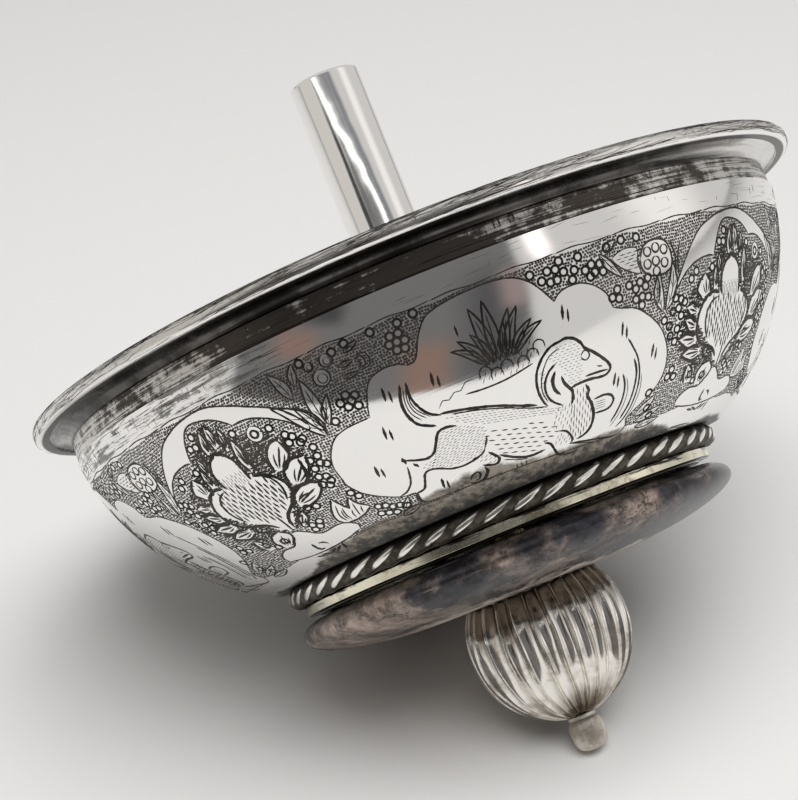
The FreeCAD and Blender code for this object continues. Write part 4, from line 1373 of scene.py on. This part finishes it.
def thread_cut(radii, heights, angles):
    # Depth of the thread: a helix below the plain shank, running out at both ends
    phase = ((heights + 0 * angles) / thread_pitch + angles / full_turn) % 1.0
    vee = np.abs(phase * 2 - 1)
    low_end = np.clip((heights - thread_start) / lead_in, 0, 1)
    high_end = np.clip((thread_top - heights) / run_out, 0, 1)
    return np.where(radii > rod_radius * 0.9, -thread_depth * vee * low_end * high_end, 0), 0


thread_rows = np.arange(rod_low.z + 0.3 * mm, thread_top, thread_pitch / 8)
rod = turned("threaded_rod", [
    (0, rod_low.z),
    (rod_radius - thread_depth, rod_low.z),
    *[(rod_radius, z) for z in thread_rows],
    (rod_radius, rod_high.z - rod_ease),
    (rod_radius - rod_ease, rod_high.z),
    (0, rod_high.z),
], rod_metal, steps=32, swell=thread_cut, sharp=60)
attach(rod, "bowl")
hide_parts("tie_rod")

# Disc: a thick domed plate of poorer metal that slides on the rod and is clamped by the finial.
# Its skin is mottled purple, blue-grey and brown, scratched, and rubbed pale round the melon's seat.
disc_low, disc_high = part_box("finial_disc")
disc_edge = disc_high.z - 1.9 * mm
disc_round = 3.2 * mm
disc_flat = 9.0 * mm
disc_metal, disc_tree, disc_shader = metal("mottled disc", (0.4, 0.36, 0.36), roughness=0.3)
# Blue-black and brown patches, browner to one side, broken by specks and fine dark veins
disc_places = add(disc_tree, "ShaderNodeTexCoord").outputs
disc_blotches = noise(
    disc_tree, disc_places["Object"], scale=95.0, detail=6.0, roughness=0.6, distortion=0.25,
)
disc_spot = add(disc_tree, "ShaderNodeSeparateXYZ", {0: disc_places["Object"]})
disc_patch = reckon(disc_tree, "MULTIPLY_ADD", disc_spot.outputs["X"], -5.6, disc_blotches)
disc_hue = ramp(disc_tree, disc_patch, 0.42, 0.58, smooth=True)
disc_skin = tinted(disc_tree, disc_hue, (0.048, 0.047, 0.056), (0.36, 0.285, 0.245))
disc_specks = noise(disc_tree, disc_places["Object"], scale=300.0, detail=10.0, roughness=0.78)
disc_shade = ramp(disc_tree, disc_specks, 0.40, 0.60, start=0.25, end=1.35)
disc_veins = noise(disc_tree, disc_places["Object"], scale=170.0, detail=7.0, roughness=0.62)
disc_vein_gap = reckon(disc_tree, "SUBTRACT", disc_veins, 0.5)
disc_vein_gap = reckon(disc_tree, "ABSOLUTE", disc_vein_gap)
disc_vein_floor = ramp(disc_tree, disc_blotches, 0.50, 0.60, start=1.0, end=0.2)
disc_vein_shade = ramp(disc_tree, disc_vein_gap, 0.003, 0.016, start=disc_vein_floor, end=1.0)
disc_shade = reckon(disc_tree, "MULTIPLY", disc_shade, disc_vein_shade)
disc_mottle = add(disc_tree, "ShaderNodeVectorMath", {0: disc_skin}, operation="SCALE")
disc_tree.links.new(disc_shade, disc_mottle.inputs["Scale"])
# Black bloom, the pale worn ring at the melon's seat, rubbed lines, and painted shadow, black, in the gap
# under the foot
disc_bloom = tarnish(disc_tree, disc_places["Object"], scale=170.0, cover=0.42)
disc_black = tinted(disc_tree, disc_bloom, disc_mottle.outputs[0], (0.034, 0.033, 0.037))
disc_level = disc_spot.outputs["Z"]
disc_seat_edge = reckon(disc_tree, "MULTIPLY_ADD", disc_specks, 4.0 * mm, disc_level)
disc_seat = ramp(
    disc_tree, disc_seat_edge, disc_low.z + 2.0 * mm, disc_low.z + 2.5 * mm, start=0.85, end=0.0,
)
disc_tint = tinted(disc_tree, disc_seat, disc_black, (0.74, 0.66, 0.58))
disc_lines = streaks(disc_tree, disc_places["UV"], along=75.0, across=1300.0)
disc_rubs = ramp(disc_tree, disc_lines, 0.64, 0.72, end=0.7)
disc_worn = tinted(disc_tree, disc_rubs, disc_tint, (0.50, 0.46, 0.44))
# Painted shadow: the top face under the foot is coloured near black
disc_gap_shadow_paint = ramp(disc_tree, disc_level, disc_high.z - 0.26 * mm, disc_high.z - 0.1 * mm)
disc_tint_with_gap_shadow = tinted(disc_tree, disc_gap_shadow_paint, disc_worn, (0.012, 0.011, 0.011))
disc_tree.links.new(disc_tint_with_gap_shadow, disc_shader.inputs["Base Color"])
disc_gloss = ramp(disc_tree, disc_hue, 0.0, 1.0, start=0.24, end=0.42)
disc_rough = mixed(disc_tree, disc_seat, disc_gloss, 0.55)
disc_tree.links.new(disc_rough, disc_shader.inputs["Roughness"])
disc_shader.inputs["Metallic"].default_value = 0.7
disc_marks = streaks(disc_tree, disc_places["UV"], along=90.0, across=2200.0)
disc_scores = bumped(disc_tree, disc_marks, 0.008 * mm)
disc_pits = bumped(disc_tree, disc_specks, 0.05 * mm, disc_scores)
disc_tree.links.new(disc_pits, disc_shader.inputs["Normal"])
disc = turned("mottled_disc", [
    (rod_hole, disc_high.z),
    *oval(disc_high.x - disc_round, disc_edge, disc_round, disc_high.z - disc_edge,
          start=90, end=0, count=14),
    *oval(disc_flat, disc_edge, disc_high.x - disc_flat, disc_edge - disc_low.z,
          start=-2, end=-90, count=40),
    (rod_hole, disc_low.z),
], disc_metal, steps=288)
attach(disc, "disc")
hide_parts("finial_disc")

# Melon: a hollow silver ball of broad panels between thin double ridges, closed by a plate
# under the disc. A threaded bush inside it runs on the rod and clamps the whole stack.
melon_low, melon_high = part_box("melon_shell")
melon_radius = melon_high.x
melon_half_height = 10.5 * mm
melon_seat = 8.3 * mm
melon_neck = 1.75 * mm
melon_wall = 0.9 * mm
stud_hole = 1.25 * mm
melon_panels = 30
panel_hollow = 0.34 * mm
hollow_share = 0.8
ridge_height = 0.2 * mm
ridge_place = 0.13
ridge_spread = 0.05
inner_ridge = 0.15
panel_wave = 9.0 * mm
panel_unevenness = 0.18
ridges_meet = 0.6 * melon_radius
melon_centre = melon_high.z - melon_half_height * math.sqrt(1 - (melon_seat / melon_radius) ** 2)
melon_metal, melon_tree, melon_shader = worn_metal(
    "polished melon", (0.85, 0.82, 0.77), stain=(0.40, 0.35, 0.285), scale=190.0, cover=0.42, smooth=0.14,
    dull=0.28, along=300.0, across=300.0, dent=0.07 * mm, streak_depth=0.0004 * mm, dent_scale=330.0,
)
# Brown fingers held in the hollows of the panels: the ones that run down from the seat are tarnish with
# painted shade and a painted dark reflection of the disc, the ones that run up from the tip are tarnish
melon_places = add(melon_tree, "ShaderNodeTexCoord").outputs
melon_level = add(melon_tree, "ShaderNodeSeparateXYZ", {0: melon_places["Object"]}).outputs["Z"]
melon_clouds = noise(melon_tree, melon_places["Object"], scale=260.0, detail=5.0)
melon_fingers = streaks(melon_tree, melon_places["UV"], along=470.0, across=25.0)
melon_edge = reckon(melon_tree, "MULTIPLY_ADD", melon_clouds, 2.5 * mm, melon_level)
melon_edge = reckon(melon_tree, "MULTIPLY_ADD", melon_fingers, 8.0 * mm, melon_edge)
melon_tint = so_far(melon_shader, "Base Color")
melon_crest = add(melon_tree, "ShaderNodeAttribute", attribute_name="crest")
melon_hold = ramp(melon_tree, melon_crest.outputs["Fac"], 0.6, 1.0, start=0.95, end=0.2)
# First row: tarnish with painted shade and painted reflection under the disc; second row: tarnish near the
# tip
for bare, brown, shade in ((-0.4, 2.6, (0.15, 0.125, 0.10)), (-7.4, -10.2, (0.20, 0.165, 0.12))):
    tarnish_and_shade = ramp(
        melon_tree, melon_edge, melon_high.z + bare * mm, melon_high.z + brown * mm, end=melon_hold,
    )
    melon_tint = tinted(melon_tree, tarnish_and_shade, melon_tint, shade)
melon_tree.links.new(melon_tint, melon_shader.inputs["Base Color"])
# Points across one panel and their relief: a hollow middle, a ridge near the edge and a lower one on it
across_panel = (-1.0, -0.93, -0.87, -0.80, -0.72, -0.5, -0.25, 0.0, 0.25, 0.5, 0.72, 0.80, 0.87, 0.93)
panel_widths = np.array([hand.uniform(0.75, 1.25) for _ in range(melon_panels)])
panel_widths *= full_turn / panel_widths.sum()
panel_starts = np.cumsum(panel_widths) - panel_widths - math.pi
melon_turns = []
melon_relief = []
panel_phases = []
for start, width in zip(panel_starts, panel_widths):
    hollow = panel_hollow * width * melon_panels / full_turn * hand.uniform(0.8, 1.2)
    phase = hand.uniform(0, full_turn)
    for t in across_panel:
        edge_gap = 1 - abs(t)
        ridge = math.exp(-((edge_gap - ridge_place) / ridge_spread) ** 2)
        ridge += inner_ridge * math.exp(-(edge_gap / ridge_spread) ** 2)
        melon_turns.append(start + width * (t + 1) / 2)
        panel_phases.append(phase)
        melon_relief.append(ridge_height * (ridge - 1) - hollow * max(0.0, 1 - (t / hollow_share) ** 2))
melon_turns = np.array(melon_turns)
melon_relief = np.array(melon_relief)


def melon_panel_swell(radii, heights, angles):
    # The panels' relief, square to the outer face, uneven along each panel,
    # and fading where the ridges run together
    rise = (heights - melon_centre) / melon_half_height
    outer = np.hypot(radii / melon_radius, rise) > 0.97
    wave = np.sin(full_turn * (heights - melon_centre) / panel_wave + np.array(panel_phases))
    fade = np.where(outer, np.minimum(1, radii / ridges_meet), 0) * (1 + panel_unevenness * wave)
    out = radii / melon_radius ** 2
    up = (heights - melon_centre) / melon_half_height ** 2
    length = np.hypot(out, up)
    return fade * melon_relief * out / length, fade * melon_relief * up / length


top_angle = math.degrees(math.acos(melon_seat / melon_radius))
base_angle = math.degrees(math.acos(melon_neck / melon_radius))
inner_radius = melon_radius - melon_wall
inner_half_height = melon_half_height - melon_wall
inner_top = math.degrees(math.asin((melon_high.z - melon_centre) / inner_half_height))
inner_base = math.degrees(math.acos(stud_hole / inner_radius))
melon = turned("melon", [
    *oval(0, melon_centre, melon_radius, melon_half_height, start=top_angle, end=-base_angle, count=72),
    (stud_hole, melon_low.z),
    *oval(0, melon_centre, inner_radius, inner_half_height, start=-inner_base, end=inner_top, count=24),
], melon_metal, sharp=60, swell=melon_panel_swell, turns=melon_turns)
melon_spots = spots_of(melon)
spot_turns = np.arctan2(melon_spots[:, 0], -melon_spots[:, 1])
nearest = np.abs(np.sin((spot_turns[:, None] - melon_turns[None, :]) / 2)).argmin(1)
mark_crests(melon, 1 + melon_relief[nearest] / (panel_hollow + ridge_height))
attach(melon, "finial")
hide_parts("melon_shell")
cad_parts["melon_cap"].material_slots[0].material = inner_metal
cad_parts["finial_nut"].material_slots[0].material = rod_metal

# Tip button: a small cast barrel with a rounded end, soldered to the bottom of the melon on a stud.
# It is matte and a little lumpy, with a dark line of solder at its neck.
tip_low, tip_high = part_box("tip_button")
tip_radius = tip_high.x
tip_top = tip_low.z + 4.4 * mm
tip_neck = melon_neck
stud_radius = 1.2 * mm
lump_rise = 0.06 * mm
tip_metal = worn_metal(
    "matte tip", (0.71, 0.67, 0.605), stain=(0.44, 0.39, 0.33), scale=420.0, cover=0.48, smooth=0.46,
    dull=0.6, along=900.0, across=900.0, dent=0.16 * mm, streak_depth=0.01 * mm, dent_scale=620.0,
)[0]


def lumps(radii, heights, angles):
    # Uneven swellings left by the casting, below the neck only
    swollen = radii > tip_neck + 0.05 * mm
    out = 0.05 * mm * np.sin(3 * angles + 900 * heights)
    up = 0.04 * mm * np.sin(2 * angles)
    return out * swollen, up * swollen


tip_half = (tip_top - tip_low.z) / 2
tip = turned("tip", [
    (0, tip_high.z),
    (stud_radius, tip_high.z),
    (stud_radius, tip_top),
    (tip_neck, tip_top),
    (tip_neck + solder_gap, tip_top - 0.25 * mm),
    *oval(0, tip_low.z + tip_half, tip_radius - lump_rise, tip_half,
          start=48, end=-90, count=26, square=0.72),
], tip_metal, steps=64, swell=lumps, sharp=60)
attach(tip, "finial")
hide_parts("tip_button")

# Stage: a pale sheet that the piece leans on, by its tip and the edge of its disc.
# The sheet shows from above only, so that it hides nothing from the other side.
lean_angle = math.radians(41.8)
lean_way = Vector((0.417, -0.909, 0)).normalized()
sheet_up = lean_way * math.sin(lean_angle) + Vector((0, 0, 1)) * math.cos(lean_angle)
sheet_colour = (0.80, 0.795, 0.785)
lowest = min(sheet_up.dot(v.co) for piece in (disc, tip, melon) for v in piece.data.vertices)
camera_place = Vector((0.4, -256.7, -69.0)) * mm
middle = (cad_low + cad_high) / 2
to_camera = camera_place - middle
to_front = (to_camera - sheet_up * to_camera.dot(sheet_up)).normalized()
to_right = sheet_up.cross(to_front)
sheet_half = 1.3
sheet_front = 0.26
sheet_back = -1.6
sheet_corners = [
    (-sheet_half, sheet_front), (sheet_half, sheet_front),
    (sheet_half, sheet_back), (-sheet_half, sheet_back),
]
sheet_mesh = bpy.data.meshes.new("sheet")
sheet_mesh.from_pydata([
    to_right * rightward + to_front * ahead + sheet_up * lowest for rightward, ahead in sheet_corners
], [], [(0, 1, 2, 3)])
if sheet_mesh.polygons[0].normal.dot(sheet_up) < 0:
    sheet_mesh.flip_normals()
sheet_material = bpy.data.materials.new("pale sheet")
sheet_material.use_nodes = True
sheet_tree = sheet_material.node_tree
sheet_shader = sheet_tree.nodes["Principled BSDF"]
sheet_shader.inputs["Base Color"].default_value = (*sheet_colour, 1)
sheet_shader.inputs["Roughness"].default_value = 0.7
sheet_shader.inputs["Specular IOR Level"].default_value = 0.2
sheet_side = add(sheet_tree, "ShaderNodeNewGeometry")
sheet_clear = add(sheet_tree, "ShaderNodeBsdfTransparent")
sheet_mix = add(sheet_tree, "ShaderNodeMixShader", {
    0: sheet_side.outputs["Backfacing"], 1: sheet_shader.outputs[0], 2: sheet_clear.outputs[0],
})
sheet_tree.links.new(sheet_mix.outputs[0], sheet_tree.nodes["Material Output"].inputs["Surface"])
sheet_mesh.materials.append(sheet_material)
floor = set_down("floor", sheet_mesh)

# Camera: it stands where the photograph was taken from and is rolled to one side as the photograph was.
# Its focal length comes from a fit to the photograph and is kept in pixels, like the picture's height.
camera_yaw = math.radians(-1.47)
camera_pitch = math.radians(6.29)
camera_roll = math.radians(-21.96)
focal_pixels = 2108
image_height = 800
forward = Vector((
    math.sin(camera_yaw) * math.cos(camera_pitch),
    math.cos(camera_yaw) * math.cos(camera_pitch),
    math.sin(camera_pitch),
))
level_right = Vector((math.cos(camera_yaw), -math.sin(camera_yaw), 0))
upright = level_right.cross(forward)
camera_right = level_right * math.cos(camera_roll) + upright * math.sin(camera_roll)
camera_up = upright * math.cos(camera_roll) - level_right * math.sin(camera_roll)
camera_data = bpy.data.cameras.new("camera")
camera_data.sensor_width = 36.0
camera_data.lens = camera_data.sensor_width * focal_pixels / image_height
camera_data.clip_start = 0.01
camera_data.clip_end = 10
camera = set_down("camera", camera_data)
camera_axes = Matrix((camera_right, camera_up, -forward)).transposed().to_4x4()
camera.matrix_world = Matrix.Translation(camera_place) @ camera_axes
bpy.context.scene.camera = camera

# Light: a pale room with dark and brown cards in front of the piece, which the polished silver reflects,
# strip lights at the edges of the cards, and one broad lamp overhead that casts the shadow.
room = bpy.data.worlds.new("room")
bpy.context.scene.world = room
room.use_nodes = True
room_tree = room.node_tree
room_shade = room_tree.nodes["Background"]
room_way = add(room_tree, "ShaderNodeTexCoord")


def along(direction):
    # How far a ray of the room goes along a direction, from minus one to one
    return add(room_tree, "ShaderNodeVectorMath", {
        0: room_way.outputs["Generated"], 1: direction,
    }, operation="DOT_PRODUCT").outputs["Value"]


def between(value, low, high, soft):
    # One between two angles in degrees, with soft ends
    rise = ramp(room_tree, value, math.radians(low - soft), math.radians(low + soft), smooth=True)
    drop = ramp(room_tree, value, math.radians(high - soft), math.radians(high + soft),
                start=1.0, end=0.0, smooth=True)
    return reckon(room_tree, "MULTIPLY", rise, drop)


bearing = reckon(room_tree, "ARCTAN2", along(to_right), along(to_front))
elevation = reckon(room_tree, "ARCSINE", along(sheet_up))
bearing_square = reckon(room_tree, "MULTIPLY", bearing, bearing)
card_slope = -0.167
card_curve = 0.2825
card_top = math.radians(50.9)
card_line = reckon(room_tree, "MULTIPLY_ADD", bearing, card_slope, elevation)
card_bow = reckon(room_tree, "MULTIPLY_ADD", bearing_square, card_curve, card_line)
over_card = reckon(room_tree, "SUBTRACT", card_bow, card_top)
room_tone = (0.62, 0.61, 0.60)
backdrop = (0.66, 0.655, 0.645)


def put_up(behind, left, right, bottom, top, soft, colour, height=elevation):
    # Sets a card or a light of one colour into the room, by its bearings in degrees from the front
    in_width = between(bearing, left, right, soft)
    in_height = between(height, bottom, top, soft)
    return tinted(room_tree, reckon(room_tree, "MULTIPLY", in_width, in_height), behind, colour)


# Each row has the bearings of the left, right, bottom and top edges, the softness of the edges and the
# colour. The rows with over_card are measured from the bowed upper edge of the main dark card.
for card in (
    (-110, -56, -20, 70, 8.0, (0.62, 0.595, 0.56)),
    (-40, 60, 0, 5.5, 1.2, (0.24, 0.245, 0.26), over_card),
    (-49, 38, -88, 0, 1.6, (0.165, 0.160, 0.160), over_card),
    (-50, -18, 16, 33, 3.0, (0.06, 0.06, 0.062)),
    (-52, -37, 34, 46, 2.0, (0.52, 0.49, 0.455)),
    (-37, -25, 4, 13, 4.0, (0.25, 0.165, 0.14)),
    (2, 15, -30, 4, 5.0, (0.25, 0.165, 0.135)),
    (20, 34, -30, 26, 8.0, (0.085, 0.085, 0.09)),
    (31, 38, 10, 24, 3.0, (0.30, 0.235, 0.225)),
    (44, 49.5, 24, 36, 3.0, (1.9, 1.75, 1.7)),
    (80, 104, 0, 60, 9.0, (0.92, 0.90, 0.88)),
    (-50, 34, -0.3, 0.8, 0.3, (2.8, 2.8, 2.75), over_card),
):
    room_tone = put_up(room_tone, *card)
room_path = add(room_tree, "ShaderNodeLightPath")
room_seen = tinted(room_tree, room_path.outputs["Is Camera Ray"], room_tone, backdrop)
room_tree.links.new(room_seen, room_shade.inputs["Color"])
room_level = ramp(room_tree, room_path.outputs["Is Diffuse Ray"], 0.0, 1.0, start=1.0, end=0.5)
room_tree.links.new(room_level, room_shade.inputs["Strength"])

lamp_size = 0.6
lamp_energy = 5.5
lamp_above = 0.7
lamp_right = 0.07
lamp_front = 0.16
ceiling_data = bpy.data.lights.new("ceiling", "AREA")
ceiling_data.shape = "RECTANGLE"
ceiling_data.size = lamp_size
ceiling_data.size_y = lamp_size
ceiling_data.energy = lamp_energy
ceiling = set_down("ceiling", ceiling_data)
ceiling.location = middle + sheet_up * lamp_above + to_right * lamp_right + to_front * lamp_front
ceiling.rotation_euler = (middle - ceiling.location).to_track_quat("-Z", "Y").to_euler()
ceiling.visible_glossy = False

bpy.context.scene.view_settings.view_transform = "Standard"
